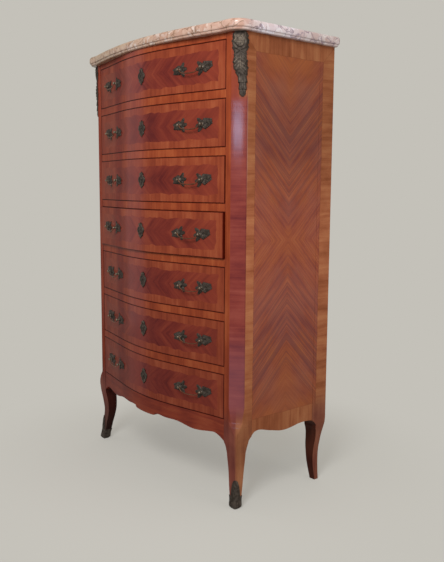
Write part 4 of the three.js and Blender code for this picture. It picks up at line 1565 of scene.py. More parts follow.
def post_corners(columns, corner, grow=0.0):
    """The corners of one level, seen from above, with the post's face at 0."""
    shoulder_x, shoulder_y, side_share, arris, cant, round_share = columns
    cut_x = corner["width"] * cant
    cut_y = corner["depth"] * cant
    out = corner["swing"] * arris / math.sqrt(2)
    side_x = case_half - corner["width"] / 2 + out + cut_x / 2
    near_y = corner["depth"] / 2 - out - cut_y / 2
    side = corner["side"] * side_share + 2 * grow
    outer_x = side_x + grow
    outer_y = near_y - grow
    inner_x = outer_x - side + (opening_half - outer_x + side) * shoulder_x
    inner_y = outer_y + side + (post_depth - outer_y - side) * shoulder_y
    ease = inner_round * round_share
    near = ease * (1 - math.sqrt(0.5))
    flush_y = outer_y * (1 - shoulder_x * corner["flush"])
    flush_x = outer_x + (case_half - outer_x) * shoulder_y
    return [
        Vector((inner_x, flush_y)), Vector((outer_x - cut_x, outer_y)),
        Vector((outer_x, outer_y + cut_y)), Vector((flush_x, inner_y)),
        Vector((inner_x + ease, inner_y)), Vector((inner_x + near, inner_y - near)),
        Vector((inner_x, inner_y - ease)),
    ]


halfway = post_corners(table_at(front_leg_shares, 0.5), front_corner)
print("halfway down a leg, in mm:", [(round(p.x / mm), round(p.y / mm)) for p in halfway])

# %% [markdown]
# A post is lofted through many levels up to the drawers, and in one straight piece above
# them. The front legs stop just above the soles of their shoes. The rear posts are built
# from their own table, with their plan turned round.

# %% Posts with their legs
post_ease = 0.8 * mm
shoe_sole = 2 * mm
post_rings = 70
table_top = 2.0


def post(shares, corner, foot, place):
    heights = [foot + (opening_base - foot) * i / post_rings for i in range(post_rings + 1)]
    heights.append(case_top)
    rings = []
    for z in heights:
        columns = table_at(shares, min(table_top, level_share(z)))
        ring = eased_ring(post_corners(columns, corner), post_ease)
        rings.append([place(p.x, p.y, z) for p in ring])
    body = Body()
    body.rings(rings)
    return body


def at_front(x, y, z):
    return (x, face_y + y, z)


def at_back(x, y, z):
    return (x, case_back - y, z)


pair(lambda: post(front_leg_shares, front_corner, shoe_sole + fit_gap, at_front),
     "front_leg", post_finish, "post_veneer", "front_post")
pair(lambda: post(rear_leg_shares, rear_corner, 0.0, at_back),
     "rear_leg", post_finish, "post_veneer", "rear_post")
print("posts done, rings in each:", post_rings + 2)

# %% [markdown]
# ## Ornament of the corner mounts
# A casting is drawn here as a height over its own outline. Down the mount lie three
# ornaments: a framed oval boss with a fan over it, a hanging leaf with veins, and a string
# of small husks. Each is a sum of soft hills and waves, by how far down a point lies and how
# far aside, from -1 to 1.

# %% Ornament as heights
boss_at = 0.15
boss_tall = 0.055
boss_wide = 0.36
boss_frame = 1.4
flute_count = 11
scroll_aside = 0.84
leaf_waves = 5.5
husk_count = 3
leaf_starts = 0.33
leaf_ends = 0.68
blend = 0.03
almost_one = 0.999


def hill(value, middle, width):
    return math.exp(-(((value - middle) / width) ** 2))


def shell(t, s):
    """The upper ornament: an oval boss in a rolled frame, with a fan of flutes round it."""
    oval = math.hypot((t - boss_at) / boss_tall, (s - 0.06 * math.sin(t * 30)) / boss_wide)
    boss = 0.24 * max(0.0, 1 - oval**2) ** 0.5 + 0.1 * math.cos(t * 260) * hill(oval, 0, 1)
    frame = 0.34 * hill(oval, boss_frame, 0.2)
    angle = math.atan2(s * 0.55, (0.3 - t) * 2.2)
    flutes = 0.2 * math.cos(flute_count * angle) * min(1.0, max(0.0, oval - 1.6))
    scroll = 0.36 * hill(abs(s), scroll_aside - 0.2 * math.sin(t * 16), 0.12)
    return boss + frame + flutes + scroll


def hanging_leaf(u, s):
    """The middle ornament: a leaf with a rib, slanting veins and curled edges."""
    rib = 0.34 * hill(s, 0.1 * math.sin(u * 5), 0.12) * (1 - 0.4 * u)
    veins = 0.24 * math.cos(2 * math.pi * (u * leaf_waves - abs(s) * 1.5)) * abs(s) ** 0.6
    curls = 0.26 * hill(abs(s), 0.8, 0.16) * (0.6 + 0.4 * math.sin(u * 34))
    return rib + veins + curls


def husks(u, s):
    """The lower ornament: three bell-shaped husks, each hanging from the one above."""
    bell = u * husk_count - math.floor(u * husk_count)
    petals = 0.72 + 0.28 * math.cos(s * 9)
    return 0.62 * bell**0.6 * petals - 0.1


def mount_relief(t, s):
    """Height of the ornament, and the share of the width that its outline leaves."""
    to_leaf = min(1.0, max(0.0, (t - leaf_starts + blend) / (2 * blend)))
    to_husks = min(1.0, max(0.0, (t - leaf_ends + blend) / (2 * blend)))
    leaf_share = (t - leaf_starts) / (leaf_ends - leaf_starts)
    husk_share = min(almost_one, max(0.0, (t - leaf_ends) / (1 - leaf_ends)))
    upper = shell(t, s) * (1 - to_leaf) + hanging_leaf(leaf_share, s) * to_leaf
    rise = upper * (1 - to_husks) + husks(husk_share, s) * to_husks
    wavy = 1 - 0.045 * math.cos(t * 62) - 0.03 * math.cos(t * 117 + s)
    bell = husk_share * husk_count - math.floor(husk_share * husk_count)
    lobe = wavy * (1 - to_husks) + (0.84 + 0.26 * bell) * to_husks
    return rise, lobe


print("height in the middle of the boss:", round(mount_relief(boss_at, 0)[0], 2))

# %% [markdown]
# ## Corner mounts
# The width and the crown come from a table from top to tip, and the ornament lies on them.
# The casting wraps a little round both arrises of the cant, and its tail slants towards the
# side. One casting serves both corners, so on the left its tail slants towards the front.

# %% Corner mounts
mount_width = 43 * mm
mount_length = 164 * mm
mount_tail_shift = 7 * mm
mount_tail = [(0.45, 0), (0.8, 1)]
mount_top = case_top - 1 * mm
mount_crown = 11.5 * mm
mount_floor = 0.5 * mm
mount_back = 0.2 * mm
mount_to_side = 3 * mm
mount_wrap = 0.8
mount_rows = 190
mount_columns = 34
crown_share = 0.6
ornament_share = 0.38
hollow_most = 0.2
full_height = 0.95
back_places = 0.8, 0, -0.8
casting_sharp = 50

# at, width, crown
mount_shares = [
    (0, 0.78, 0.6), (0.06, 0.94, 0.9), (0.14, 1.02, 1), (0.24, 0.96, 0.85), (0.35, 0.78, 0.7),
    (0.43, 0.86, 0.9), (0.52, 0.9, 1), (0.6, 0.8, 0.85), (0.68, 0.64, 0.7), (0.78, 0.54, 0.6),
    (0.88, 0.48, 0.55), (0.96, 0.4, 0.4), (1, 0.16, 0.2),
]


def corner_mount(lean):
    """The casting on the right-hand cant; a lean of -1 turns its slant towards the front."""
    out = Vector((cant_along.y, -cant_along.x, 0))
    rings = []
    heights = []
    for row in range(mount_rows + 1):
        t = row / mount_rows
        width, crown = table_at(mount_shares, t)
        z = mount_top - t * mount_length
        tail = mount_tail_shift * table_at(mount_tail, t)[0]
        ring = []
        ring_heights = []

        def add(s, lobe, depth, height):
            aside = s * mount_width / 2 * width * lobe + (mount_to_side + tail) * lean
            wrap = max(0.0, abs(aside) - cant_long / 2)
            spot = cant_middle + cant_along * aside + out * (depth - wrap * mount_wrap)
            ring.append((spot.x, spot.y, z))
            ring_heights.append(min(1.0, height / full_height))

        for column in range(mount_columns + 1):
            s = 2 * column / mount_columns - 1
            rise, lobe = mount_relief(t, s * lean)
            shoulder = max(0.0, 1 - abs(s) ** 4) ** 0.5
            height = shoulder * (crown_share * crown + ornament_share * max(-hollow_most, rise))
            add(s, lobe, mount_floor + height * mount_crown, height)
        for s in back_places:
            add(s, lobe, mount_back, 0.0)
        rings.append(ring)
        heights.append(ring_heights)
    body = Body()
    body.rings(rings, heights)
    return body


for side_name, lean in (("right", 1), ("left", -1)):
    casting = corner_mount(lean)
    if lean < 0:
        casting = casting.placed(mirror)
    piece = casting.made(f"corner_casting_{side_name}", bronze_finish, casting_sharp)
    settle(piece, "case", "bronze", f"corner_mount_{side_name}")
print("points in a corner casting:", len(casting.points))

# %% [markdown]
# ## Shoes
# Each front foot stands in a cast shoe. It hugs the leg, so its rings are the leg's own
# outline, grown a little and with its points spread evenly. How far each point lies from the
# arris decides where the leaf of the shoe is.

# %% Rings that hug the leg
shoe_side_points = 12


def spread_ring(corners, count):
    """A ring with an even number of points along each side, and its corners eased."""
    eased = []
    for i, corner in enumerate(corners):
        after = corners[(i + 1) % len(corners)]
        for k in range(count):
            eased.append(corner.lerp(after, k / count))
    for _ in range(2):
        eased = [
            eased[i - 1] * 0.25 + p * 0.5 + eased[(i + 1) % len(eased)] * 0.25
            for i, p in enumerate(eased)
        ]
    return eased


def shoe_level(z, grow):
    columns = table_at(front_leg_shares, z / leg_height)
    return spread_ring(post_corners(columns, front_corner, grow), shoe_side_points)


def from_arris(ring, start):
    """How far each point of a ring lies from one of them, the short way round."""
    ring = ring[start:] + ring[:start]
    way = [0.0]
    for a, b in zip(ring, ring[1:]):
        way.append(way[-1] + (b - a).length)
    whole = way[-1] + (ring[0] - ring[-1]).length
    way = [min(length, whole - length) for length in way]
    return way[len(ring) - start:] + way[:len(ring) - start]


print("points round a shoe:", len(shoe_level(0.0, 0.0)))

# %% [markdown]
# The upper edge of the shoe is level all round and rises to a leaf on the arris. Its relief
# has a thick toe, short flutes above it, a bead below the edge and veins on the leaf. The
# last ring is drawn in a little, so that the shoe's lip closes against the leg.

# %% Shoes
shoe_cuff = 35 * mm
shoe_leaf = 82 * mm
shoe_rows = 48
arris_side = 1.5
leaf_reach = 16 * mm
leaf_point = 2.6
leaf_fade = 2.5
toe_at = 9
toe_growth = 1.7
bead_below = 2
flutes_at = 20
flutes_reach = 12
sole_tuck = 3.4
shoe_growth = 1.6
relief_growth = 0.7
lip_share = 0.84


def shoe():
    arris = from_arris(shoe_level(shoe_cuff, 0.0), round(shoe_side_points * arris_side))
    count = len(arris)
    rings = []
    heights = []
    for row in range(shoe_rows + 1):
        share = row / shoe_rows
        ring = []
        ring_heights = []
        for i in range(count):
            aside = arris[i]
            on_leaf = min(1.0, max(0.0, 1 - aside / leaf_reach) * leaf_fade)
            tip = max(0.0, 1 - (aside / leaf_reach) ** leaf_point)
            z = (shoe_cuff + (shoe_leaf - shoe_cuff) * tip) * share
            toe = hill(z / mm, toe_at, toe_at)
            vein = math.cos(aside / mm * 1.3 - z / mm * 0.3) * on_leaf
            bead = hill(z / mm, shoe_cuff / mm - bead_below, 1.8) * (1 - on_leaf)
            rim = hill(share, 0.97, 0.04) * on_leaf
            flutes = 0.35 * math.cos(aside / mm * 1.4) * hill(z / mm, flutes_at, flutes_reach)
            relief = 0.4 * vein + 0.3 * bead + 0.3 * rim + flutes
            tuck = sole_tuck * hill(z / mm, 0, 3)
            grow = (shoe_growth + toe_growth * toe + relief * relief_growth - tuck) * mm
            spot = shoe_level(z, grow)[i]
            ring.append((spot.x, face_y + spot.y, z))
            ring_heights.append(min(1.0, max(0.0, 0.4 + relief * 0.5)))
        rings.append(ring)
        heights.append(ring_heights)
    middle_x = sum(p[0] for p in rings[-1]) / count
    middle_y = sum(p[1] for p in rings[-1]) / count
    rings.append([
        (middle_x + (x - middle_x) * lip_share, middle_y + (y - middle_y) * lip_share, z - mm)
        for x, y, z in rings[-1]
    ])
    heights.append([0.0] * count)
    body = Body()
    body.rings(rings, heights)
    return body


pair(shoe, "shoe_casting", bronze_finish, "bronze", "shoe", casting_sharp)
print("shoes", round(shoe_leaf / mm), "mm high at the leaf")

# %% [markdown]
# ## Leaves for the handles
# The handle posts stand in small cast leaves. One leaf is a tapered body with a groove down
# its middle and lobes along its edge. A rosette is a fan of such leaves round a turned boss,
# and its leaves may overlap, as they do in a real casting.

# %% One cast leaf
leaf_rows = 12
leaf_columns = 8
leaf_back = -1.5 * mm
leaf_back_places = 0.7, 0, -0.7
leaf_least = 0.05
leaf_full_height = 7 * mm


def leaf(body, root, turn, length, width, rise, bend=0.0, lobes=3):
    """Adds a leaf that starts at a root in the u, v plane; w points out of it."""
    rings = []
    heights = []
    for row in range(leaf_rows + 1):
        t = row / leaf_rows
        angle = math.radians(turn + bend * t)
        way = Vector((math.cos(angle), math.sin(angle), 0))
        aside = Vector((-way.y, way.x, 0))
        centre = Vector((root[0], root[1], 0)) + way * (length * t)
        swell = math.sin(math.pi * (0.14 + 0.78 * t**0.85)) ** 0.7
        half = width / 2 * swell * (0.88 + 0.16 * abs(math.sin(math.pi * lobes * t)))
        ridge = rise * (0.62 + 0.38 * math.sin(math.pi * (0.1 + 0.8 * t)) - 0.35 * t)
        ring = []
        ring_heights = []
        for column in range(leaf_columns + 1):
            s = 2 * column / leaf_columns - 1
            dome = max(0.0, 1 - s * s) ** 0.6
            groove = 0.4 * hill(s, 0, 0.2) * (1 - 0.6 * t)
            vein = 0.14 * math.cos(2 * math.pi * (lobes * t - abs(s) * 0.8)) * abs(s)
            height = max(leaf_least, dome * (1 - groove + vein))
            spot = centre + aside * (half * s)
            ring.append((spot.x, spot.y, height * ridge))
            ring_heights.append(min(1.0, height * ridge / leaf_full_height))
        for s in leaf_back_places:
            spot = centre + aside * (half * s)
            ring.append((spot.x, spot.y, leaf_back))
            ring_heights.append(0.0)
        rings.append(ring)
        heights.append(ring_heights)
    body.rings(rings, heights)


trial = Body()
leaf(trial, (0, 0), 0, 20 * mm, 12 * mm, 4 * mm)
print("points in a leaf:", len(trial.points))

# %% [markdown]
# Posts, ball heads and screws are turned on a lathe. A profile lists height and radius, and
# is drawn round the axis that stands out of the drawer.

# %% Turned parts
turned_full_height = 9 * mm


def turned(body, profile, sides=28):
    """A body turned round the w axis from (height, radius) pairs."""
    rings = []
    heights = []
    turns = [2 * math.pi * i / sides for i in range(sides)]
    for height, radius in profile:
        rings.append([(radius * math.cos(a), radius * math.sin(a), height) for a in turns])
        heights.append([min(1.0, max(0.0, height / turned_full_height))] * sides)
    body.rings(rings, heights)


trial = Body()
turned(trial, [(0, mm), (mm, mm)])
print("faces in a turned disc:", len(trial.faces))

# %% [markdown]
# ## Handles
# A handle has an inner rosette that points to the middle of the drawer, an outer spray that
# points outwards and up, and a bail between two posts with ball heads. The rosettes stay on
# the drawer, and the bail swings on a body of its own. Every handle is built in the same
# small frame, along the chord between its two posts, and then set in place.

# %% Where the handles sit
handle_span = 81 * mm
handle_end_inset = 78 * mm
handle_outer_x = drawer_half - handle_end_inset
handle_inner_x = handle_outer_x - handle_span
handle_rise = drawer_height / 2 + drawer_reveal
sides = {"left": -1, "right": 1}


def handle_matrix(place_x, number, side):
    """From a handle's own frame to the chest: u along the chord, v up, w out of the front."""
    inner = Vector((handle_inner_x, front_y(handle_inner_x), 0))
    outer = Vector((handle_outer_x, front_y(handle_outer_x), 0))
    along = (outer - inner).normalized()
    out = Vector((along.y, -along.x, 0))
    origin = inner.lerp(outer, (place_x - handle_inner_x) / handle_span)
    origin.y -= drawer_proud(number)
    origin.z = drawer_base(number) + handle_rise
    axes = Matrix((along, Vector((0, 0, 1)), out)).transposed().to_4x4()
    matrix = Matrix.Translation(origin) @ axes
    return matrix if side > 0 else mirror @ matrix


print("handle posts at", round(handle_inner_x, 3), "and", round(handle_outer_x, 3))

# %% [markdown]
# Each post is turned, with a foot, a small bead and a neck, and ends in a ball. The bail's
# ends run into that ball.

# %% Profile of a post with its ball
handle_standoff = 13 * mm
ball_radius = 3.9 * mm
ball_steps = 10
ball_from = -48
ball_turn = 138
ball_tip = 0.05 * mm
post_profile = [
    (-1 * mm, 7.6 * mm), (3.2 * mm, 7.4 * mm), (4.6 * mm, 6.2 * mm), (5 * mm, 5 * mm),
    (5.6 * mm, 5.4 * mm), (6.4 * mm, 5.2 * mm), (6.9 * mm, 3.6 * mm), (8.4 * mm, 2.7 * mm),
    (9.4 * mm, 2.9 * mm),
]


def ball_profile():
    profile = []
    for i in range(ball_steps + 1):
        angle = math.radians(ball_from + ball_turn * i / ball_steps)
        height = handle_standoff + ball_radius * math.sin(angle)
        profile.append((height, max(ball_radius * math.cos(angle), ball_tip)))
    return profile


print("a post stands", round(ball_profile()[-1][0] / mm, 1), "mm proud")

# %% [markdown]
# Each rosette is one casting of leaves. Pairs of leaves grow along a stem and lean away from
# it, and one more leaf covers the stem's tip. The leaves shrink and straighten towards the
# tip, as they do on a real twig.

# %% Sprays of leaves
stem_share = 0.72
lean_lost = 24
leaf_slimness = 0.72
rise_lost = 0.25
leaf_twist = 16
tip_starts = 0.4
tip_length = 0.6
tip_width = 0.95
tip_rise = 1.1
tip_lift = 4


def spray(body, start, end, first, last, rise, tilt, pairs):
    """Leaves in pairs along a stem from start to end, and one more at the stem's tip."""
    start = Vector(start) * mm
    end = Vector(end) * mm
    stem = math.degrees(math.atan2(end.y - start.y, end.x - start.x))
    for i in range(pairs):
        share = i / (pairs - 1)
        root = start.lerp(end, stem_share * share)
        size = first + (last - first) * share
        lean = tilt - lean_lost * share
        for side in (1, -1):
            leaf(body, root, stem + side * lean, size * mm, size * leaf_slimness * mm,
                 rise * (1 - rise_lost * share), -side * leaf_twist)
    tip = start.lerp(end, tip_starts)
    leaf(body, tip, stem, (end - start).length * tip_length, last * tip_width * mm,
         rise * tip_rise, 0.0, tip_lift)


trial = Body()
spray(trial, (0, 0), (20, 0), 10, 8, 4 * mm, 70, 3)
print("points in a small spray:", len(trial.points))

# %% [markdown]
# Three leaves spread round the post of each rosette, and the inner rosette is the shorter
# one. Both are built once, and copies of them are set on all seven drawers, left ones
# mirrored. A real rosette is held by the foot of its post, which goes through the drawer.

# %% Rosettes
post_leaf_rise = 4.4 * mm


def inner_rosette():
    body = Body()
    spray(body, (0, 1), (-24, -3), 15, 12, 5.2 * mm, 74, 4)
    for turn in (62, 6, -58):
        leaf(body, (2 * mm, 0), turn, 22 * mm, 13 * mm, post_leaf_rise)
    turned(body, post_profile + ball_profile())
    return body


def outer_rosette():
    body = Body()
    spray(body, (1, 0), (33, 7), 17, 11, 5.6 * mm, 78, 5)
    for turn in (140, 190, -128):
        leaf(body, (-2 * mm, 0), turn, 25 * mm, 14 * mm, post_leaf_rise)
    turned(body, post_profile + ball_profile())
    return body


rosettes = {"inner": (inner_rosette(), handle_inner_x), "outer": (outer_rosette(), handle_outer_x)}
for number in drawer_numbers:
    for side_name, side in sides.items():
        for which, (body, place_x) in rosettes.items():
            placed = body.placed(handle_matrix(place_x, number, side))
            name = f"rosette_{number}_{side_name}_{which}"
            piece = placed.made(name, bronze_finish, casting_sharp)
            settle(piece, f"drawer_{number}", "bronze")
print("rosettes", 4 * len(drawer_numbers))

# %% [markdown]
# ## Bails
# A bail is a bent rod. The line of its middle is drawn through a few points, and a small
# circle is swept along it. The rod is thickest in the middle, where the fingers pull, and
# has two small knops beside it.

# %% A rod along a line
rod_dull = 0.62
rod_bright = 0.3


def swept(body, line, radii, sides):
    """A rod along a line in the u, v plane."""
    rings = []
    heights = []
    for i, point in enumerate(line):
        ahead = line[min(i + 1, len(line) - 1)]
        behind = line[max(i - 1, 0)]
        way = (ahead - behind).normalized()
        aside = Vector((-way.y, way.x, 0))
        ring = []
        for k in range(sides):
            angle = 2 * math.pi * k / sides
            ring.append(tuple(point + aside * (radii[i] * math.cos(angle))
                              + Vector((0, 0, radii[i] * math.sin(angle)))))
        rings.append(ring)
        turns = [2 * math.pi * k / sides for k in range(sides)]
        heights.append([rod_dull + rod_bright * math.sin(turn) for turn in turns])
    body.rings(rings, heights)


trial = Body()
swept(trial, [Vector((0, 0, 0)), Vector((mm, 0, 0))], [mm, mm], 6)
print("points in a straight rod:", len(trial.points))

# %% [markdown]
# The bail leaves each ball along the axis on which it turns, bends down and runs across. The
# posts' distance is taken along the chord of the bowed front, so it is a little longer than
# from side to side.

# %% Bails
handle_drop = 13 * mm
bail_radius = 1.7 * mm
bail_bend_shares = [(0.1, 0.3), (0.4, 0.62), (1.2, 0.88)]
bail_sides = 10
bail_sharp = 60
ball_room = 4 * mm
straight_end = 1.2 * mm
knop_at = 12
knop_half = 1.6


def bail():
    slope = (front_y(handle_outer_x) - front_y(handle_inner_x)) / handle_span
    reach = handle_span / 2 * math.hypot(1, slope)
    start = reach - ball_room - bail_radius
    half = [(reach, 0, 0), (start + straight_end, 0, 0)]
    half += [(start - u * handle_drop, -v * handle_drop, 0) for u, v in bail_bend_shares]
    left = [(-u, v, w) for u, v, w in half]
    line = curve_through(left + [(0, -handle_drop, 0)] + half[::-1], 8)
    radii = []
    for point in line:
        middle = 1 - abs(point.x) / reach
        knop = hill(abs(point.x) / mm, knop_at, knop_half)
        radii.append(bail_radius * (0.7 + 0.2 * min(1.0, middle * 1.6) + 0.12 * knop))
    body = Body()
    swept(body, line, radii, bail_sides)
    return body


bail_body = bail()
handle_middle = (handle_inner_x + handle_outer_x) / 2
stand = Matrix.Translation((0, 0, handle_standoff))
for number in drawer_numbers:
    for side_name, side in sides.items():
        placed = bail_body.placed(handle_matrix(handle_middle, number, side) @ stand)
        name = f"bail_{number}_{side_name}"
        piece = placed.made("rod_" + name, bail_finish, bail_sharp)
        settle(piece, name, "bronze", name)
print("bails", 2 * len(drawer_numbers))

# %% [markdown]
# ## Keyhole plates and locks
# The plate is a ring round the keyhole: its inner outline is the keyhole, and its outer one
# a pointed, leafy cartouche. Both are drawn as a right half that is mirrored, and both get
# the same number of evenly spaced points, so that rings can lie between them.

# %% Outlines with even points
plate_points = 96


def resampled(line, count):
    """The same closed line with evenly spaced points."""
    closed = line + [line[0]]
    lengths = [0.0]
    for a, b in zip(closed, closed[1:]):
        lengths.append(lengths[-1] + (b - a).length)
    points = []
    k = 0
    for i in range(count):
        want = lengths[-1] * i / count
        while lengths[k + 1] < want:
            k += 1
        share = (want - lengths[k]) / max(lengths[k + 1] - lengths[k], tiny)
        points.append(closed[k].lerp(closed[k + 1], share))
    return points


def closed_outline(right_half):
    """A right half, from top to bottom, and its mirror image back to the top."""
    left_half = [Vector((-p.x, p.y)) for p in reversed(right_half[1:-1])]
    return resampled(right_half + left_half, plate_points)


print("points of an even square:", len(resampled(square, 8)))

# %% [markdown]
# The keyhole is a round hole with a slot below it. The cartouche has a pointed top and
# bottom and swells in the middle. Its right half is a short list of points, as shares of
# half the plate's size.

# %% Keyhole and cartouche
plate_width = 35 * mm
plate_height = 50 * mm
keyhole_radius = 1.9 * mm
keyhole_slot = 1.2 * mm
keyhole_tail = 4.7 * mm
keyhole_lift = 1.2 * mm
keyhole_arc_points = 16
plate_shares = [
    (0, 1), (0.3, 0.84), (0.5, 0.84), (0.46, 0.62), (0.62, 0.44), (0.86, 0.34), (1, 0.06),
    (0.88, -0.22), (0.62, -0.36), (0.62, -0.58), (0.44, -0.72), (0.3, -0.74), (0, -1),
]


def cartouche():
    right_half = [(x * plate_width / 2, z * plate_height / 2) for x, z in plate_shares]
    return closed_outline(curve_through(right_half, 8))


def keyhole():
    """A round hole with a slot below it, from its top down the right side and up the left."""
    sweep = math.pi / 2 + math.acos(keyhole_slot / keyhole_radius)
    right_half = []
    for i in range(keyhole_arc_points + 1):
        angle = math.pi / 2 - sweep * i / keyhole_arc_points
        x = keyhole_radius * math.cos(angle)
        z = keyhole_radius * math.sin(angle) + keyhole_lift
        right_half.append(Vector((x, z)))
    low = keyhole_lift - keyhole_tail
    right_half += [Vector((keyhole_slot, low)), Vector((0, low))]
    return closed_outline(right_half)


print("keyhole", round(2 * max(p.x for p in keyhole()) / mm, 1), "mm wide")

# %% [markdown]
# Rings between the two outlines rise and fall to make a lip, a hollow and a scrolled rim.
# The table says how high the plate stands at each share of the way out, in millimetres. The
# first ring lies low inside the hole, and the last one behind the rim closes the back.

# %% Keyhole plate
keyhole_floor = 0.15 * mm
lobe_count = 11
lobe_from = 0.35
scroll_from = 0.3
scroll_at = 0.4
scroll_half = 0.09
rim_from = 0.98
rim_share = 0.3
least_height = 0.3
plate_full_height = 5
plate_back = -0.2 * mm
plate_back_share = 0.98

# share of the way out, height
plate_levels = [
    (0.0, 2.6), (0.1, 3.1), (0.18, 2.6), (0.3, 1.7), (0.5, 1.6), (0.66, 2.4),
    (0.8, 3.2), (0.9, 3.0), (0.97, 2.0), (1.0, 0.4),
]


def keyhole_plate():
    """The plate in its own frame: u across, v up, w out of the drawer."""
    outer = cartouche()
    inner = keyhole()
    rings = [[(p.x, p.y, keyhole_floor) for p in inner]]
    heights = [[0.0] * plate_points]
    for share, rise in plate_levels:
        ring = []
        ring_heights = []
        for i, (a, b) in enumerate(zip(inner, outer)):
            point = a.lerp(b, share)
            angle = 2 * math.pi * i / plate_points
            lobes = 0.5 * math.cos(lobe_count * angle) * max(0.0, share - lobe_from)
            scroll = 0.7 * hill(abs(b.y) / plate_height, scroll_at, scroll_half)
            leafy = lobes + scroll * max(0.0, share - scroll_from)
            edge = 1.0 if share < rim_from else rim_share
            height = max(least_height, rise + leafy * edge)
            ring.append((point.x, point.y, height * mm))
            ring_heights.append(min(1.0, height / plate_full_height))
        rings.append(ring)
        heights.append(ring_heights)
    rings.append([(p.x * plate_back_share, p.y * plate_back_share, plate_back) for p in outer])
    heights.append([0.0] * plate_points)
    body = Body()
    body.rings(rings, heights)
    return body


plate_body = keyhole_plate()
print("points in a keyhole plate:", len(plate_body.points))

# %% [markdown]
# Behind the drawer front sits the iron case of the lock: a flat box with a screw in each
# corner, and the end of its bolt as a plain bar on top. It shows only on an open drawer.

# %% Lock case
lock_width = 60 * mm
lock_height = 46 * mm
lock_thickness = 12 * mm
lock_ease = 0.9 * mm
bolt_half = 14 * mm
bolt_front = 3 * mm
bolt_back = 9 * mm
bolt_sunk = 2 * mm
bolt_rise = 3 * mm
bolt_ease = 0.6 * mm
screw_x = 24 * mm
screw_z = 17 * mm
screw_points = 20
screw_profile = [(-1 * mm, 3 * mm), (0.8 * mm, 3 * mm), (1.3 * mm, 1.6 * mm)]


def lock_case(front):
    """The iron case behind a drawer front, with its screws and bolt."""
    body = Body()
    half = lock_width / 2
    foot = handle_rise - lock_height / 2
    top = handle_rise + lock_height / 2
    body.block((-half, front, foot), (half, front + lock_thickness, top), lock_ease)
    body.block((-bolt_half, front + bolt_front, top - bolt_sunk),
               (bolt_half, front + bolt_back, top + bolt_rise), bolt_ease)
    screw = Body()
    turned(screw, screw_profile, sides=screw_points)
    turn_back = Matrix.Rotation(math.radians(-90), 4, "X")
    for x in (-screw_x, screw_x):
        for z in (-screw_z, screw_z):
            spot = Matrix.Translation((x, front + lock_thickness, handle_rise + z))
            placed = screw.placed(spot @ turn_back)
            body.add(placed.points, placed.faces)
    return body


plate_face = front_y(0)
lock_body = lock_case(plate_face + front_thickness + fit_gap)
print("points in a lock case:", len(lock_body.points))

# %% [markdown]
# Plate and lock case ride on their drawer. The packed model has one node for both, and the
# plate stands for it. It was drawn lying down, so it is turned upright first.

# %% Locks on their drawers
upright = Matrix.Rotation(math.radians(90), 4, "X")
for number in drawer_numbers:
    out = drawer_proud(number)
    base = drawer_base(number)
    matrix = Matrix.Translation((0, plate_face - out, base + handle_rise)) @ upright
    plate = plate_body.placed(matrix).made(f"keyhole_plate_{number}", bronze_finish, casting_sharp)
    settle(plate, f"drawer_{number}", "bronze", f"lock_{number}")
    inside = lock_body.placed(Matrix.Translation((0, -out, base)))
    settle(inside.made(f"lock_case_{number}", iron_finish), f"drawer_{number}", "bronze")
print("locks", len(drawer_numbers))

# %% [markdown]
# ## Boards that keep their shape
# The boxes of the drawers and the boards inside the case are flat and square already. They
# stay as they are and only take a wood.

# %% Give the plain boards their wood
def dress(node, finish):
    data = frame["nodes"][node].data
    data.materials.clear()
    data.materials.append(finish)


for number in drawer_numbers:
    dress(f"drawer_box_{number}", drawer_wood)
for node in ("top_board", "bottom_board", "rear_rail"):
    dress(node, case_wood)
dress("back_panel", back_wood)
print("plain boards", len(drawer_numbers) + 4)

# %% [markdown]
# ## Floor
# The floor and the sky show one plain pale grey. The floor is lit, so that it keeps the
# chest's shadow, and it fades into the sky's own grey further out. A node tells where a ray
# comes from: one from the camera or off a glossy face sees the background, and all others
# only gather light.

# %% Floor
background = paint(196, 193, 185)
floor_radius = 9.0
floor_points = 72
floor_drop = 0.2 * mm
floor_lit = paint(158, 155, 148)
floor_seen = paint(214, 211, 203)
shadow_near = 0.3
shadow_far = 0.95
shadow_share = 0.5


def seen(graph, rays, least):
    """1 for a ray that sees the background itself, and `least` for all others."""
    for ray in rays:
        path = graph.node("LightPath", output=f"Is {ray} Ray")
        least = graph.node("Math", {"operation": "MAXIMUM"}, {0: path, 1: least})
    return least


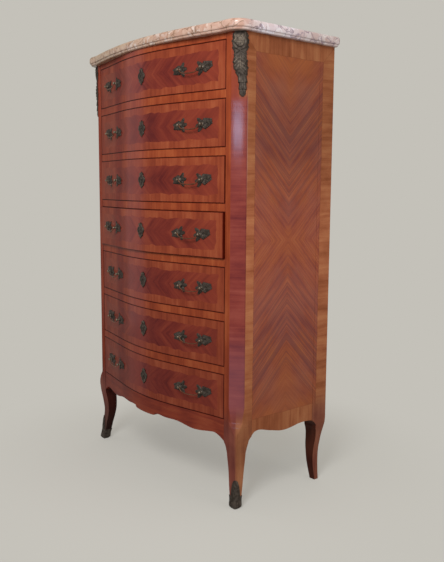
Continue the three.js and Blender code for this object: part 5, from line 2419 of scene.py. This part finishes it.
def stage_floor():
    body = Body()
    turns = [2 * math.pi * i / floor_points for i in range(floor_points)]
    ring = [(floor_radius * math.cos(a), floor_radius * math.sin(a), 0) for a in turns]
    body.add(ring, [tuple(range(floor_points))])
    graph = Finish("floor_paper", {"Roughness": 0.9})
    x, y, _ = graph.place()
    far = (x * x + y * y) ** 0.5
    fade = graph.step(far, shadow_near, shadow_far) * shadow_share + (1 - shadow_share)
    shown = seen(graph, ("Camera", "Glossy"), 0.0)
    graph.set("Base Color", graph.mix(shown, floor_lit, floor_seen))
    plain = graph.node("Emission", {}, {"Color": background, "Strength": 1.0})
    graph.surface(graph.node("MixShader", {}, {0: fade * shown, 1: graph.shader, 2: plain}))
    floor = body.made("floor", graph.material)
    floor.location.z = -floor_drop


stage_floor()
print("floor", round(2 * floor_radius), "m across")

# %% [markdown]
# ## Sky
# A soft light comes from all sides, and the plain background shows wherever a ray sees the
# sky itself. Half of the sky's light has the background's tone too.

# %% Sky
sky_colour = (1.0, 0.985, 0.96)
sky_strength = 0.28
background_share = 0.5


def sky():
    world = bpy.data.worlds.new("sky")
    world.use_nodes = True
    bpy.context.scene.world = world
    graph = Graph(world.node_tree, "OutputWorld")
    light = graph.node("Background", {}, {"Color": sky_colour, "Strength": sky_strength})
    shown = graph.node("Background", {}, {"Color": background, "Strength": 1.0})
    share = seen(graph, ("Camera", "Glossy", "Transmission"), background_share)
    graph.surface(graph.node("MixShader", {}, {0: share, 1: light, 2: shown}))


sky()
print("sky", bpy.context.scene.world.name)

# %% [markdown]
# ## Lamps
# The lamps are wide and soft and stay at a plain level. The key lamp stands in front on the
# right. A cool window shines in the polish of the cant, a dim warm wall answers on the left,
# and a fill lamp keeps the side from going dark.

# %% Lamps
def lamp(name, place, aim, size, power, colour=(1, 1, 1)):
    """A lit rectangle; sizes in metres, and the power in watts."""
    data = bpy.data.lights.new(name, "AREA")
    data.shape = "RECTANGLE"
    data.size, data.size_y = size
    data.energy = power
    data.color = colour
    lamp_object = bpy.data.objects.new(name, data)
    place = Vector(place)
    lamp_object.location = place
    lamp_object.rotation_euler = (Vector(aim) - place).to_track_quat("-Z", "Y").to_euler()
    bpy.context.scene.collection.objects.link(lamp_object)


lamp("key", (1.3, -1.7, 2.15), (0, -0.1, 1.0), (0.8, 0.8), 42)
lamp("window", (1.98, -2.66, 1.35), (0.36, -0.14, 1.05), (0.54, 0.26), 11.5, (0.4, 0.66, 1.0))
lamp("wall", (-2.2, -1.2, 0.9), (0, -0.2, 0.8), (0.8, 1.8), 4, (1.0, 0.86, 0.95))
lamp("fill", (3.2, 0.7, 0.75), (0.3, 0, 0.65), (1.4, 1.4), 20)
print("lamps", len(bpy.data.lights))

# %% [markdown] ## Closing
